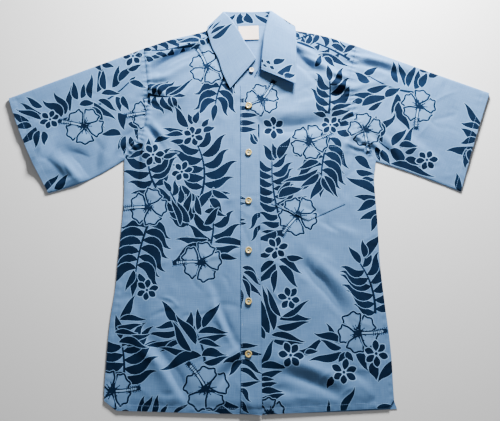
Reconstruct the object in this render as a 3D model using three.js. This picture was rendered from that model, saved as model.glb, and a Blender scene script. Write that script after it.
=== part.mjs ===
// Short-sleeved print shirt, laid out flat on its back with the front side up.
// Millimetres. +X is to the viewer's right, +Y toward the collar, +Z up off the table.
// Left and right are the viewer's, as the shirt is seen from above with the collar at the top.
import * as THREE from "three";

// Cloth and layers
const CLOTH = 1.2; // thickness of one layer of cloth
const SEAM_GAP = 0.3; // between pieces that are sewn edge to edge
const LAYER_STEP = CLOTH + SEAM_GAP; // from one layer to the next one lying on it
const TABLE_LAYER = CLOTH / 2; // middle height of the layer that lies on the table
const EDGE_LEVEL = TABLE_LAYER + LAYER_STEP; // middle height of the upper layer at a side seam
const LOFT = 3; // extra height of the upper layer away from the seams
const LOFT_REACH = 70; // distance from a side seam where the full loft is reached
const FOLD_REACH = 24; // folds die out within this distance of the outline

// Grid steps
const SIDE_STEPS = 12; // rows from hem to underarm
const ARMHOLE_STEPS = 18; // rows from shoulder to underarm
const FRONT_YOKE_STEP = 2; // armhole step where the front yoke seam ends
const BACK_YOKE_STEP = 4; // armhole step where the back yoke seam ends
const NECK_STEPS = 8; // rows along each front neckline
const FRONT_COLUMNS = 11;
const BACK_COLUMNS = 10;
const SHOULDER_COLUMNS = 9;
const BACK_NECK_COLUMNS = 8;
const SLEEVE_RINGS = 11;
const PLACKET_ROWS = 18;
const FOLD_STEPS = 4; // round each fold at a shoulder, sleeve top and underarm
const POCKET_ROWS = 8;
const POCKET_COLUMNS = 10;
const NARROW_COLUMNS = 3; // across the placket, the collar stand and the label
const COLLAR_STEPS = 38;

// Front closing: placket, under-layer and buttons
const HEM_Y = -395;
const PLACKET_TOP_Y = 247.5;
const PLACKET_HEM_SLANT = { seam: 1, edge: 3 }; // its lower end hangs lower at the seam
const PLACKET_SEAM = { hemX: 23, topX: 19 };
const PLACKET_EDGE = { hemX: -14.5, topX: -17 };
const PLACKET_TOP_DROP = 18; // the free corner of the placket ends lower than the sewn one
const UNDERLAP = 4; // the buttoned front ends this far short of the placket seam
const SEAM_RISE_REACH = 60; // the right front comes down from the placket over this distance
const UNDERARM_Y = 60; // the centre edges' rows level with the underarms
const BUTTON_RADIUS = 6.3;
const BUTTON_HEIGHT = 2.6;
const BUTTON_PITCH = 95;
const FIRST_BUTTON_Y = 186;
const BUTTON_COUNT = 6;
const BUTTON_X = -1;
const COLLAR_BUTTON = { x: 5, y: 260, z: 7.4, radius: 4.8, height: 2.2 };

// Half section of a button from its foot to its dished top, as shares of radius and height
const BUTTON_PROFILE = table("r z", [
  [0, 0], [0.8, 0], [1, 0.4], [0.92, 1], [0.72, 1], [0.55, 0.72], [0, 0.72],
]);
const BUTTON_SIDES = 16;

// Patch pocket: a rectangle with a pointed bottom
const POCKET = { left: 42, right: 182, top: 121, corner: -10, point: -42 };

// Label sewn in at the back neck seam
const LABEL = { x: -1, y: 342, width: 40, length: 29, turn: 2, thickness: 1 };

// Collar roll
const ROLL_RADIUS = 2.2;
const ROLL_GAP = 0.5; // between the stand's top edge and the leaf
const STAND_CLEARANCE = CLOTH * 0.6; // keeps an upright stand clear of the panel it is sewn to
const CORNER_RAISE = 2.6; // the seam comes down from the upper to the lower layer by this much
const CORNER_REACH = 36; // and over this distance behind each shoulder
const NECK_MIDDLE = { x: 5, y: 318 }; // the collar faces away from this point

// A table given as rows of bare values becomes a list of objects with named columns
function table(columns, rows) {
  const names = columns.split(" ");
  return rows.map((row) => Object.fromEntries(names.map((name, i) => [name, row[i]])));
}

// Side seams from just above the hem up to the underarm
const SIDE_SEAM = {
  left: table("x y", [
    [-260, -371], [-260, -335], [-258, -282], [-255, -228], [-248, -173],
    [-245, -117], [-241, -60], [-238, -2], [-239, 37], [-240, 78],
  ]),
  right: table("x y", [
    [260, -368], [259, -335], [258, -282], [253, -228], [248, -173],
    [244, -117], [243, -60], [241, -2], [239, 37], [244, 75],
  ]),
};

// Hem corners of the fronts and of the back
const HEM_CORNER = {
  front: { left: { x: -236, y: -388 }, right: { x: 250, y: -383 } },
  back: { left: { x: -240, y: -387 }, right: { x: 265, y: -385 } },
};
const BACK_HEM_BOW = -7; // the back hem hangs this much lower at its middle

// Armholes from the shoulder fold down to the underarm
const ARMHOLE = {
  left: table("x y", [
    [-210, 308], [-205.5, 274], [-201, 240], [-199, 211], [-200, 178],
    [-203, 150], [-209, 126], [-220, 107], [-234, 93], [-240, 78],
  ]),
  right: table("x y", [
    [214, 313], [206, 277.5], [198, 242], [197, 212], [200, 185],
    [206, 160], [213, 135], [222, 113], [233, 92], [244, 75],
  ]),
};

// Front necklines from the centre up to the yoke seam
const NECKLINE = {
  left: table("x y", [[16, 236], [3, 256], [-15, 281], [-34, 306], [-50, 329]]),
  right: table("x y", [[19.3, 246], [30, 256], [41, 272], [52, 291], [70, 326]]),
};

// Shoulder folds from the armhole to the neck, and the back neckline between them
const SHOULDER = {
  left: table("x y", [[-210, 308], [-154, 328], [-107, 340], [-66, 352]]),
  right: table("x y", [[214, 313], [166, 330], [118, 342], [80, 348]]),
};
const BACK_NECK = table("x y", [[-66, 352], [-40, 358], [0, 359], [50, 357], [80, 348]]);

// Sleeves: cuff corners, and how far the cuff and the lower edge bulge outward
const SLEEVE = {
  left: { top: { x: -472, y: 203 }, bottom: { x: -383, y: 12 }, cuffBow: 6, lowerBow: 9 },
  right: { top: { x: 472, y: 214 }, bottom: { x: 404, y: 15 }, cuffBow: -2, lowerBow: -2 },
};

// Largest folds of the upper layer. A row is one soft ridge (height above 0) or trough
// (below 0): its middle, its length along the turn angle in degrees, and its half width.
const FOLDS = table("x y length width height turn", [
  [-145, 291, 100, 9, 2.6, 22],
  [-138, 272, 100, 9, -3.0, 24],
  [-158, 168, 70, 12, -2.4, 40],
  [-150, 196, 80, 15, 2.0, 36],
  [-110, 214, 46, 8, 1.8, -18],
  [116, 274, 62, 12, -3.0, -28],
  [150, 262, 95, 11, 2.6, -24],
  [168, 232, 60, 12, 2.2, -12],
  [100, 154, 125, 14, -2.2, 6],
  [96, 178, 110, 14, 1.6, 4],
  [136, -176, 128, 13, -2.6, -52],
  [158, -158, 120, 15, 2.4, -52],
  [118, -343, 120, 13, -2.2, -24],
  [112, -316, 120, 14, 1.8, -22],
  [-150, -322, 125, 13, -2.4, -54],
  [-172, -310, 120, 15, 2.0, -54],
  [-35, -232, 95, 9, -2.0, -76],
  [-375, 108, 85, 13, -2.6, 60],
  [-392, 96, 80, 14, 2.2, 60],
  [-316, 70, 66, 11, -2.8, -54],
  [-330, 58, 66, 12, 2.2, -54],
  [262, 250, 110, 12, -2.4, -16],
  [268, 268, 120, 11, 2.2, -18],
  [330, 120, 110, 16, -1.8, -38],
]);

// Collar stations from the left front end, round the back, to the right front end.
// at: share of the neckline; top: upper edge of the stand; turn: side to which the leaf
// folds, -90 under the stand, 0 outward, 90 over it; edge: outer edge of the leaf.
const COLLAR = table("at topX topY topZ turn edgeX edgeY edgeZ", [
  [0.03, 19, 268, 6.5, 90, -30, 214, 9],
  [0.075, 12, 281, 8.5, 90, -37, 222, 9],
  [0.13, 0, 301, 9, 90, -52, 255, 8.8],
  [0.19, -11, 318, 9.5, 90, -61, 284, 8.8],
  [0.25, -25, 345, 10, 90, -73, 308, 8.8],
  [0.31, -39, 366, 10, 80, -80, 330, 8.8],
  [0.335, -46, 375, 9.5, 50, -83, 344, 8.4],
  [0.355, -50, 381, 8, 5, -83, 355, 4.2],
  [0.38, -45, 383.5, 6.4, -45, -72, 358, 0.6],
  [0.42, -34, 384, 5, -90, -54, 344, 0.6],
  [0.52, 0, 384, 5, -90, 0, 344, 0.6],
  [0.62, 28, 385, 5, -90, 48, 344, 0.6],
  [0.665, 38, 385, 6.4, -45, 74, 358, 0.6],
  [0.695, 43, 382, 9, 5, 90, 356, 4.2],
  [0.715, 42, 375, 11.5, 50, 93, 346, 8.6],
  [0.75, 38, 360, 13.5, 80, 93, 333, 11],
  [0.81, 32, 336, 14.5, 90, 93, 306, 13],
  [0.87, 29, 308, 15, 90, 93, 280, 14],
  [0.93, 26, 283, 14, 90, 93, 254, 16],
  [0.985, 24, 260, 11, 90, 91, 228, 18],
]);
const LEAF_FIRST_STATION = 1; // the stand runs one station past the leaf for its button

// The fall of the collar lies under the back yoke here, and lifts it by one layer
const LIFT = { fromX: 84, toX: 112, fromY: 318, toY: 334 };

const COLOURS = {
  cloth: 0x8fa9c9,
  label: 0xe9dccb,
  button: 0xd9cfa4,
};

const { lerp, smoothstep, degToRad } = THREE.MathUtils;

function mix(a, b, t) {
  return { x: lerp(a.x, b.x, t), y: lerp(a.y, b.y, t) };
}

// A smooth curve through the rows of a table, as steps + 1 points
function curvePoints(rows, steps) {
  const knots = rows.map((row) => new THREE.Vector3(row.x, row.y, 0));
  return new THREE.CatmullRomCurve3(knots, false, "centripetal").getPoints(steps);
}

// Unit direction in plan from one point to another
function direction(from, to) {
  const length = Math.hypot(to.x - from.x, to.y - from.y);
  return { x: (to.x - from.x) / length, y: (to.y - from.y) / length };
}

function shifted(point, dx, dy) {
  return { x: point.x + dx, y: point.y + dy };
}

const armhole = {
  left: curvePoints(ARMHOLE.left, ARMHOLE_STEPS),
  right: curvePoints(ARMHOLE.right, ARMHOLE_STEPS),
};
const neckline = {
  left: curvePoints(NECKLINE.left, NECK_STEPS),
  right: curvePoints(NECKLINE.right, NECK_STEPS),
};

// Distance from a point to a stretch of the outline
function distanceTo(x, y, a, b) {
  const along = ((x - a.x) * (b.x - a.x) + (y - a.y) * (b.y - a.y))
    / ((b.x - a.x) ** 2 + (b.y - a.y) ** 2);
  const near = mix(a, b, Math.min(Math.max(along, 0), 1));
  return Math.hypot(x - near.x, y - near.y);
}

// The two outline stretches on each side where front and back are sewn together
const SEWN_EDGES = ["left", "right"].flatMap((side) => {
  const underarm = SIDE_SEAM[side].at(-1);
  return [
    [HEM_CORNER.back[side], underarm],
    [underarm, SLEEVE[side].bottom],
  ];
});

function foldHeight(x, y) {
  let height = 0;
  for (const fold of FOLDS) {
    const turn = degToRad(fold.turn);
    const along = (x - fold.x) * Math.cos(turn) + (y - fold.y) * Math.sin(turn);
    const across = (y - fold.y) * Math.cos(turn) - (x - fold.x) * Math.sin(turn);
    const end = (2 * along) / fold.length;
    height += fold.height * Math.exp(-((across / fold.width) ** 2) - end ** 4);
  }
  return height;
}

// Middle height of the upper layer: fronts, front yoke and upper side of the sleeves
function upperLevel(x, y) {
  const edge = Math.min(...SEWN_EDGES.map(([a, b]) => distanceTo(x, y, a, b)));
  const loft = LOFT * smoothstep(edge, 0, LOFT_REACH);
  const folds = foldHeight(x, y) * smoothstep(edge, 0, FOLD_REACH);
  return EDGE_LEVEL + Math.max(loft + folds, 0);
}

// Middle height of the lower layer: flat on the table but for the lift over the collar
function lowerLevel(x, y) {
  const lift = (1 - smoothstep(Math.abs(x), LIFT.fromX, LIFT.toX)) * smoothstep(y, LIFT.fromY, LIFT.toY);
  return TABLE_LAYER + LAYER_STEP * lift;
}

function placketSeamX(y) {
  return lerp(PLACKET_SEAM.hemX, PLACKET_SEAM.topX, (y - HEM_Y) / (PLACKET_TOP_Y - HEM_Y));
}

function placketEdgeX(y) {
  return lerp(PLACKET_EDGE.hemX, PLACKET_EDGE.topX, (y - HEM_Y) / (PLACKET_TOP_Y - HEM_Y));
}

// The right front lies a layer higher beside the placket, which is sewn to it
function rightFrontLevel(x, y) {
  const beside = 1 - smoothstep(x - placketSeamX(y), 0, SEAM_RISE_REACH);
  return upperLevel(x, y) + LAYER_STEP * beside;
}

// A wall of cloth. The grid holds a point p and a unit normal n for each row and column,
// and the wall reaches half its thickness to both sides. round joins the last column to
// the first, and keep(row, column) leaves cells out.
function clothWall(grid, { thickness = CLOTH, round = false, keep = () => true } = {}) {
  const columns = grid[0].length;
  const positions = [];
  const ids = grid.map((row) => row.map(({ p, n }) => {
    const id = positions.length / 3;
    for (const side of [0.5, -0.5]) {
      positions.push(...p.clone().addScaledVector(n, side * thickness).toArray());
    }
    return id;
  }));
  const cellRows = grid.length - 1;
  const cellColumns = round ? columns : columns - 1;
  const next = (column) => (column + 1) % columns;
  const kept = (row, column) => {
    const inside = row >= 0 && row < cellRows && (round || (column >= 0 && column < cellColumns));
    return inside && keep(row, (column + cellColumns) % cellColumns);
  };
  const index = [];
  const quad = (a, b, c, d) => index.push(a, b, c, a, c, d);
  const rim = (a, b) => quad(a, a + 1, b + 1, b);
  for (let row = 0; row < cellRows; row += 1) {
    for (let column = 0; column < cellColumns; column += 1) {
      if (kept(row, column)) {
        const a = ids[row][column];
        const b = ids[row][next(column)];
        const c = ids[row + 1][next(column)];
        const d = ids[row + 1][column];
        quad(a, b, c, d);
        quad(a + 1, d + 1, c + 1, b + 1);
        if (!kept(row - 1, column)) rim(a, b);
        if (!kept(row, column + 1)) rim(b, c);
        if (!kept(row + 1, column)) rim(c, d);
        if (!kept(row, column - 1)) rim(d, a);
      }
    }
  }
  return closedGeometry(positions, index);
}

// Only the points that the faces use are kept, and the faces are turned to point out
function closedGeometry(positions, index) {
  const used = new Map();
  const points = [];
  const faces = index.map((id) => {
    if (!used.has(id)) {
      used.set(id, points.length / 3);
      points.push(...positions.slice(3 * id, 3 * id + 3));
    }
    return used.get(id);
  });
  const corner = (id) => new THREE.Vector3().fromArray(points, 3 * id);
  let volume = 0;
  for (let i = 0; i < faces.length; i += 3) {
    volume += corner(faces[i]).dot(corner(faces[i + 1]).cross(corner(faces[i + 2])));
  }
  if (volume < 0) faces.reverse();
  const geometry = new THREE.BufferGeometry();
  geometry.setAttribute("position", new THREE.Float32BufferAttribute(points, 3));
  geometry.setIndex(faces);
  geometry.computeVertexNormals();
  return geometry;
}

const UP = new THREE.Vector3(0, 0, 1);
const DOWN = new THREE.Vector3(0, 0, -1);

// A panel between two edges with the same number of points, its height given by level
function panel(from, to, columns, level, options) {
  const grid = from.map((start, row) => {
    const points = [];
    for (let column = 0; column <= columns; column += 1) {
      const { x, y } = mix(start, to[row], column / columns);
      points.push({ p: new THREE.Vector3(x, y, level(x, y)), n: UP });
    }
    return points;
  });
  return clothWall(grid, options);
}

// Outer edge of a body panel: hem corner, side seam, then armhole up to a yoke seam
function bodyEdge(side, hemCorner, yokeStep) {
  const seam = curvePoints(SIDE_SEAM[side], SIDE_STEPS - 1);
  const upper = armhole[side].slice(yokeStep, -1).reverse();
  return [hemCorner, ...seam, ...upper];
}

// Centre edge of a front: straight up to the neck corner, then along the neckline
function centreEdge(side, xAt) {
  const neck = neckline[side];
  const bodyRows = SIDE_STEPS + ARMHOLE_STEPS - FRONT_YOKE_STEP - NECK_STEPS;
  const points = [];
  for (let row = 0; row < bodyRows; row += 1) {
    const y = row < SIDE_STEPS
      ? lerp(HEM_Y, UNDERARM_Y, row / SIDE_STEPS)
      : lerp(UNDERARM_Y, neck[0].y, (row - SIDE_STEPS) / (bodyRows - SIDE_STEPS));
    points.push({ x: xAt(y), y });
  }
  return [...points, ...neck];
}

function frontLeft() {
  const outer = bodyEdge("left", HEM_CORNER.front.left, FRONT_YOKE_STEP);
  const inner = centreEdge("left", (y) => placketSeamX(y) - UNDERLAP);
  return panel(outer, inner, FRONT_COLUMNS, upperLevel);
}

function frontRight() {
  const outer = bodyEdge("right", HEM_CORNER.front.right, FRONT_YOKE_STEP);
  const inner = centreEdge("right", (y) => placketSeamX(y) + SEAM_GAP);
  return panel(inner, outer, FRONT_COLUMNS, rightFrontLevel);
}

function back() {
  const left = bodyEdge("left", HEM_CORNER.back.left, BACK_YOKE_STEP);
  const right = bodyEdge("right", HEM_CORNER.back.right, BACK_YOKE_STEP);
  const grid = left.map((start, row) => {
    const points = [];
    for (let column = 0; column <= BACK_COLUMNS; column += 1) {
      const across = column / BACK_COLUMNS;
      const { x, y } = mix(start, right[row], across);
      const bow = row === 0 ? BACK_HEM_BOW * 4 * across * (1 - across) : 0;
      points.push({ p: new THREE.Vector3(x, y + bow, TABLE_LAYER), n: UP });
    }
    return points;
  });
  return clothWall(grid);
}

// Points round a fold that ends at a given place in plan: out is the plan direction of the
// fold's nose, and the fold joins the lower layer to the upper one
function foldArc(nose, out) {
  const low = lowerLevel(nose.x, nose.y);
  const radius = (upperLevel(nose.x, nose.y) - low) / 2;
  const inset = radius + CLOTH / 2;
  const centre = new THREE.Vector3(nose.x - out.x * inset, nose.y - out.y * inset, low + radius);
  const points = [];
  for (let step = 0; step <= FOLD_STEPS; step += 1) {
    const angle = Math.PI * (step / FOLD_STEPS - 0.5);
    const n = new THREE.Vector3(out.x * Math.cos(angle), out.y * Math.cos(angle), Math.sin(angle));
    points.push({ p: centre.clone().addScaledVector(n, radius), n });
  }
  return points;
}

// The yoke lies on the table behind the neck and folds over both shoulders to the front
function yoke() {
  const leftShoulder = curvePoints(SHOULDER.left, SHOULDER_COLUMNS);
  const rightShoulder = curvePoints(SHOULDER.right, SHOULDER_COLUMNS).reverse();
  const backNeck = curvePoints(BACK_NECK, BACK_NECK_COLUMNS);
  const outline = [...leftShoulder, ...backNeck.slice(1, -1), ...rightShoulder];
  const backEnds = [
    shifted(armhole.left[BACK_YOKE_STEP], SEAM_GAP, 0),
    shifted(armhole.right[BACK_YOKE_STEP], -SEAM_GAP, 0),
  ];
  const frontSeam = (column) => {
    const fromRight = outline.length - 1 - column;
    if (column <= SHOULDER_COLUMNS) {
      return mix(armhole.left[FRONT_YOKE_STEP], neckline.left.at(-1), column / SHOULDER_COLUMNS);
    }
    return mix(armhole.right[FRONT_YOKE_STEP], neckline.right.at(-1), fromRight / SHOULDER_COLUMNS);
  };
  const onShoulder = (column) => column <= SHOULDER_COLUMNS
    || column >= SHOULDER_COLUMNS + BACK_NECK_COLUMNS;
  const lowerShares = [0, 0.4, 0.66, 0.8];
  const lowerRows = lowerShares.length;
  const upperRows = 3;
  const columns = outline.map((nose, column) => {
    const across = (nose.x - outline[0].x) / (outline.at(-1).x - outline[0].x);
    const seam = shifted(mix(backEnds[0], backEnds[1], across), 0, SEAM_GAP);
    const arc = foldArc(nose, onShoulder(column) ? direction(frontSeam(column), nose) : { x: 0, y: 1 });
    const lowerEnd = onShoulder(column) ? arc[0].p : nose;
    const points = [];
    for (const share of lowerShares) {
      const { x, y } = mix(seam, lowerEnd, share);
      points.push({ p: new THREE.Vector3(x, y, lowerLevel(x, y)), n: DOWN });
    }
    if (onShoulder(column)) {
      points.push(...arc);
    } else {
      const lip = { p: new THREE.Vector3(nose.x, nose.y, lowerLevel(nose.x, nose.y)), n: DOWN };
      points.push(...arc.map(() => lip));
    }
    const front = shifted(frontSeam(column), 0, SEAM_GAP);
    for (let row = 1; row <= upperRows; row += 1) {
      const { x, y } = mix(arc.at(-1).p, front, row / upperRows);
      points.push({ p: new THREE.Vector3(x, y, upperLevel(x, y)), n: UP });
    }
    return points;
  });
  const inNeck = (column) => column >= SHOULDER_COLUMNS && column < SHOULDER_COLUMNS + BACK_NECK_COLUMNS;
  return clothWall(columns, { keep: (column, row) => row < lowerRows || !inNeck(column) });
}

// A sleeve is a flattened tube, open at the armhole and at the cuff
function sleeve(side) {
  const { top, bottom, cuffBow, lowerBow } = SLEEVE[side];
  const outward = side === "left" ? -1 : 1;
  const rings = [];
  for (let ring = 0; ring <= SLEEVE_RINGS; ring += 1) {
    const t = ring / SLEEVE_RINGS;
    const path = armhole[side].map((start, step) => {
      const s = step / ARMHOLE_STEPS;
      const cuff = shifted(mix(top, bottom, s), outward * cuffBow * Math.sin(Math.PI * s), 0);
      const sewn = shifted(start, outward * SEAM_GAP, 0);
      return shifted(mix(sewn, cuff, t), 0, -lowerBow * s ** 4 * Math.sin(Math.PI * t));
    });
    rings.push(sleeveRing(path));
  }
  return clothWall(rings, { round: true });
}

function sleeveRing(path) {
  const topArc = foldArc(path[0], direction(path[1], path[0]));
  const bottomArc = foldArc(path.at(-1), direction(path.at(-2), path.at(-1)));
  const middle = path.slice(1, -1);
  const lower = middle.map(({ x, y }) => ({ p: new THREE.Vector3(x, y, TABLE_LAYER), n: DOWN }));
  const upper = middle.map(({ x, y }) => ({ p: new THREE.Vector3(x, y, upperLevel(x, y)), n: UP }));
  return [...lower, ...bottomArc, ...upper.reverse(), ...topArc.reverse()];
}

// The placket lies on the buttoned front and is sewn to the right front
function placket() {
  const edge = [];
  const seam = [];
  for (let row = 0; row <= PLACKET_ROWS; row += 1) {
    const up = row / PLACKET_ROWS;
    const seamY = lerp(HEM_Y - PLACKET_HEM_SLANT.seam, PLACKET_TOP_Y, up);
    const edgeY = lerp(HEM_Y + PLACKET_HEM_SLANT.edge, PLACKET_TOP_Y - PLACKET_TOP_DROP, up);
    seam.push({ x: placketSeamX(seamY), y: seamY });
    edge.push({ x: placketEdgeX(edgeY), y: edgeY });
  }
  return panel(edge, seam, NARROW_COLUMNS, (x, y) => upperLevel(x, y) + LAYER_STEP);
}

// The pocket repeats the right front's surface one layer higher
function pocket() {
  const middle = (POCKET.left + POCKET.right) / 2;
  const halfWidth = (POCKET.right - POCKET.left) / 2;
  const grid = [];
  for (let row = 0; row <= POCKET_ROWS; row += 1) {
    const points = [];
    for (let column = 0; column <= POCKET_COLUMNS; column += 1) {
      const x = lerp(POCKET.left, POCKET.right, column / POCKET_COLUMNS);
      const slant = Math.abs(x - middle) / halfWidth;
      const y = lerp(lerp(POCKET.point, POCKET.corner, slant), POCKET.top, row / POCKET_ROWS);
      points.push({ p: new THREE.Vector3(x, y, rightFrontLevel(x, y) + LAYER_STEP), n: UP });
    }
    grid.push(points);
  }
  return clothWall(grid);
}

// The line along which the collar is sewn in, from the left front round to the right one.
// Beside each shoulder it comes down gradually from the upper layer to the lower one.
function collarSeam() {
  const leftSide = [...neckline.left, SHOULDER.left.at(-1)]
    .map(({ x, y }) => new THREE.Vector3(x, y, upperLevel(x, y)));
  const corners = [SHOULDER.left.at(-1), SHOULDER.right.at(-1)];
  const behind = curvePoints(BACK_NECK, BACK_NECK_COLUMNS).slice(1, -1).map(({ x, y }) => {
    const fromCorner = Math.min(...corners.map((corner) => Math.hypot(x - corner.x, y - corner.y)));
    const raise = CORNER_RAISE * (1 - smoothstep(fromCorner, 0, CORNER_REACH));
    return new THREE.Vector3(x, y, lowerLevel(x, y) + raise);
  });
  const rightSide = [...neckline.right, SHOULDER.right.at(-1)].reverse()
    .map(({ x, y }) => new THREE.Vector3(x, y, rightFrontLevel(x, y)));
  const seam = new THREE.CurvePath();
  const points = [...leftSide, ...behind, ...rightSide];
  for (let i = 1; i < points.length; i += 1) {
    seam.add(new THREE.LineCurve3(points[i - 1], points[i]));
  }
  return seam;
}

// Collar stations at even steps from one row of the table to its last, all columns
// smoothed: rise points up the stand, and over is square to it, toward the leaf's side
function collarStations(firstRow) {
  const seam = collarSeam();
  const inside = new THREE.Vector3(NECK_MIDDLE.x, NECK_MIDDLE.y, 0);
  const smooth = (names) => {
    const knots = COLLAR.map((row) => new THREE.Vector3(...names.map((name) => row[name])));
    return new THREE.CatmullRomCurve3(knots, false, "centripetal");
  };
  const tops = smooth(["topX", "topY", "topZ"]);
  const edges = smooth(["edgeX", "edgeY", "edgeZ"]);
  const shares = smooth(["at", "turn", "turn"]);
  const stations = [];
  for (let step = 0; step <= COLLAR_STEPS; step += 1) {
    const t = lerp(firstRow / (COLLAR.length - 1), 1, step / COLLAR_STEPS);
    const top = tops.getPoint(t);
    const share = shares.getPoint(t);
    const sewn = seam.getPoint(share.x);
    const turn = degToRad(share.y);
    const away = new THREE.Vector3().subVectors(sewn, inside).setZ(0).normalize();
    const fallSide = away.multiplyScalar(Math.cos(turn)).addScaledVector(UP, Math.sin(turn));
    const aside = seam.getTangent(share.x).cross(UP).normalize();
    if (aside.dot(new THREE.Vector3().subVectors(top, sewn)) < 0) aside.negate();
    const clearance = ROLL_GAP + STAND_CLEARANCE * Math.cos(turn);
    const bottom = sewn.clone().addScaledVector(aside, clearance);
    const rise = new THREE.Vector3().subVectors(top, bottom).normalize();
    const over = fallSide.clone().addScaledVector(rise, -fallSide.dot(rise)).normalize();
    stations.push({ bottom, top, rise, fallSide, over, edge: edges.getPoint(t) });
  }
  return stations;
}

function collarStand() {
  const grid = collarStations(0).map(({ bottom, top, over }) => {
    const points = [];
    for (let step = 0; step <= NARROW_COLUMNS; step += 1) {
      const p = new THREE.Vector3().lerpVectors(bottom, top, step / NARROW_COLUMNS);
      points.push({ p, n: over });
    }
    return points;
  });
  return clothWall(grid);
}

// The leaf starts at the stand's top edge, rolls over and falls to its outer edge
function collarLeaf() {
  const rollSteps = 4;
  const fallSteps = 5;
  const grid = collarStations(LEAF_FIRST_STATION).map((station) => {
    const { top, rise, fallSide, over, edge } = station;
    const start = top.clone().addScaledVector(rise, ROLL_GAP);
    const centre = start.clone().addScaledVector(over, ROLL_RADIUS);
    const points = [];
    for (let step = 0; step <= rollSteps; step += 1) {
      const angle = (Math.PI * step) / rollSteps;
      const n = over.clone().multiplyScalar(-Math.cos(angle)).addScaledVector(rise, Math.sin(angle));
      points.push({ p: centre.clone().addScaledVector(n, ROLL_RADIUS), n });
    }
    const turned = points.at(-1).p;
    for (let step = 1; step <= fallSteps; step += 1) {
      const t = step / fallSteps;
      const n = new THREE.Vector3().lerpVectors(over, fallSide, t).normalize();
      points.push({ p: new THREE.Vector3().lerpVectors(turned, edge, t), n });
    }
    points.forEach(({ p }) => p.setZ(Math.max(p.z, TABLE_LAYER)));
    return points;
  });
  return clothWall(grid);
}

function label() {
  const turn = degToRad(LABEL.turn);
  const level = (x, y) => lowerLevel(x, y) + CLOTH / 2 + SEAM_GAP + LABEL.thickness / 2;
  const corner = (across, along) => shifted(
    LABEL,
    across * Math.cos(turn) - along * Math.sin(turn),
    across * Math.sin(turn) + along * Math.cos(turn),
  );
  const left = [];
  const right = [];
  for (const share of [-0.5, -0.25, 0, 0.25, 0.5]) {
    left.push(corner(-LABEL.width / 2, share * LABEL.length));
    right.push(corner(LABEL.width / 2, share * LABEL.length));
  }
  return panel(left, right, NARROW_COLUMNS, level, { thickness: LABEL.thickness });
}

// A sew-through button with a raised rim, its axis along Z and its foot at z = 0
function button(radius, height) {
  const points = BUTTON_PROFILE.map(({ r, z }) => new THREE.Vector2(r * radius, z * height));
  return new THREE.LatheGeometry(points, BUTTON_SIDES).rotateX(Math.PI / 2);
}

const cloth = new THREE.MeshStandardMaterial({ color: COLOURS.cloth, roughness: 0.9, metalness: 0 });
const labelCloth = new THREE.MeshStandardMaterial({ color: COLOURS.label, roughness: 0.8, metalness: 0 });
const buttonShell = new THREE.MeshStandardMaterial({ color: COLOURS.button, roughness: 0.4, metalness: 0 });

const shirt = new THREE.Group();

function add(name, geometry, material) {
  const mesh = new THREE.Mesh(geometry, material);
  mesh.name = name;
  shirt.add(mesh);
  return mesh;
}

add("back", back(), cloth);
add("yoke", yoke(), cloth);
add("front_left", frontLeft(), cloth);
add("front_right", frontRight(), cloth);
add("placket", placket(), cloth);
add("pocket", pocket(), cloth);
add("sleeve_left", sleeve("left"), cloth);
add("sleeve_right", sleeve("right"), cloth);
add("collar_stand", collarStand(), cloth);
add("collar_leaf", collarLeaf(), cloth);
add("label", label(), labelCloth);

for (let i = 0; i < BUTTON_COUNT; i += 1) {
  const y = FIRST_BUTTON_Y - i * BUTTON_PITCH;
  const onPlacket = upperLevel(BUTTON_X, y) + LAYER_STEP + CLOTH / 2 + SEAM_GAP;
  add(`button_${i + 1}`, button(BUTTON_RADIUS, BUTTON_HEIGHT), buttonShell)
    .position.set(BUTTON_X, y, onPlacket);
}
add("button_collar", button(COLLAR_BUTTON.radius, COLLAR_BUTTON.height), buttonShell)
  .position.set(COLLAR_BUTTON.x, COLLAR_BUTTON.y, COLLAR_BUTTON.z);

// The origin goes under the middle of the laid-out shirt
const bounds = new THREE.Box3().setFromObject(shirt);
const middle = bounds.getCenter(new THREE.Vector3());
shirt.position.set(-middle.x, -middle.y, -bounds.min.z);

export default shirt;
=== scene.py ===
"""Short-sleeved cotton shirt with a flower and leaf print, laid out flat on its back.

The file is laid out as a Blender add-on. Tables and sizes are in millimetres, on the drawing
that the CAD part uses: +X to the viewer's right, +Y toward the collar, +Z up off the table.
Meshes are in metres, in the frame's own axes.
"""

import math
import random

import bmesh
import bpy
import numpy as np
from mathutils import Matrix, Vector
from mathutils.geometry import delaunay_2d_cdt
from mathutils.kdtree import KDTree


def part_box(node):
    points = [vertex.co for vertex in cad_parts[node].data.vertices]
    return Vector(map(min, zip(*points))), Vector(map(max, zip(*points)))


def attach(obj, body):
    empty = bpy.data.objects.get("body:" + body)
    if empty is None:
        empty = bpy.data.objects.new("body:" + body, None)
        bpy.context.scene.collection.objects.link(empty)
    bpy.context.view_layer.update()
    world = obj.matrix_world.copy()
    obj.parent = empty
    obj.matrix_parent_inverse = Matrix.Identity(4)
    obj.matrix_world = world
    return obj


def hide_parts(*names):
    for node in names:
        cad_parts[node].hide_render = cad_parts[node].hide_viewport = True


bl_info = {
    "name": "Flower-print shirt",
    "version": (1, 0, 0),
    "blender": (4, 5, 0),
    "location": "3D View > Sidebar > Shirt",
    "description": "Builds a short-sleeved print shirt, laid out flat, round its CAD part",
    "category": "Object",
}

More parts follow.
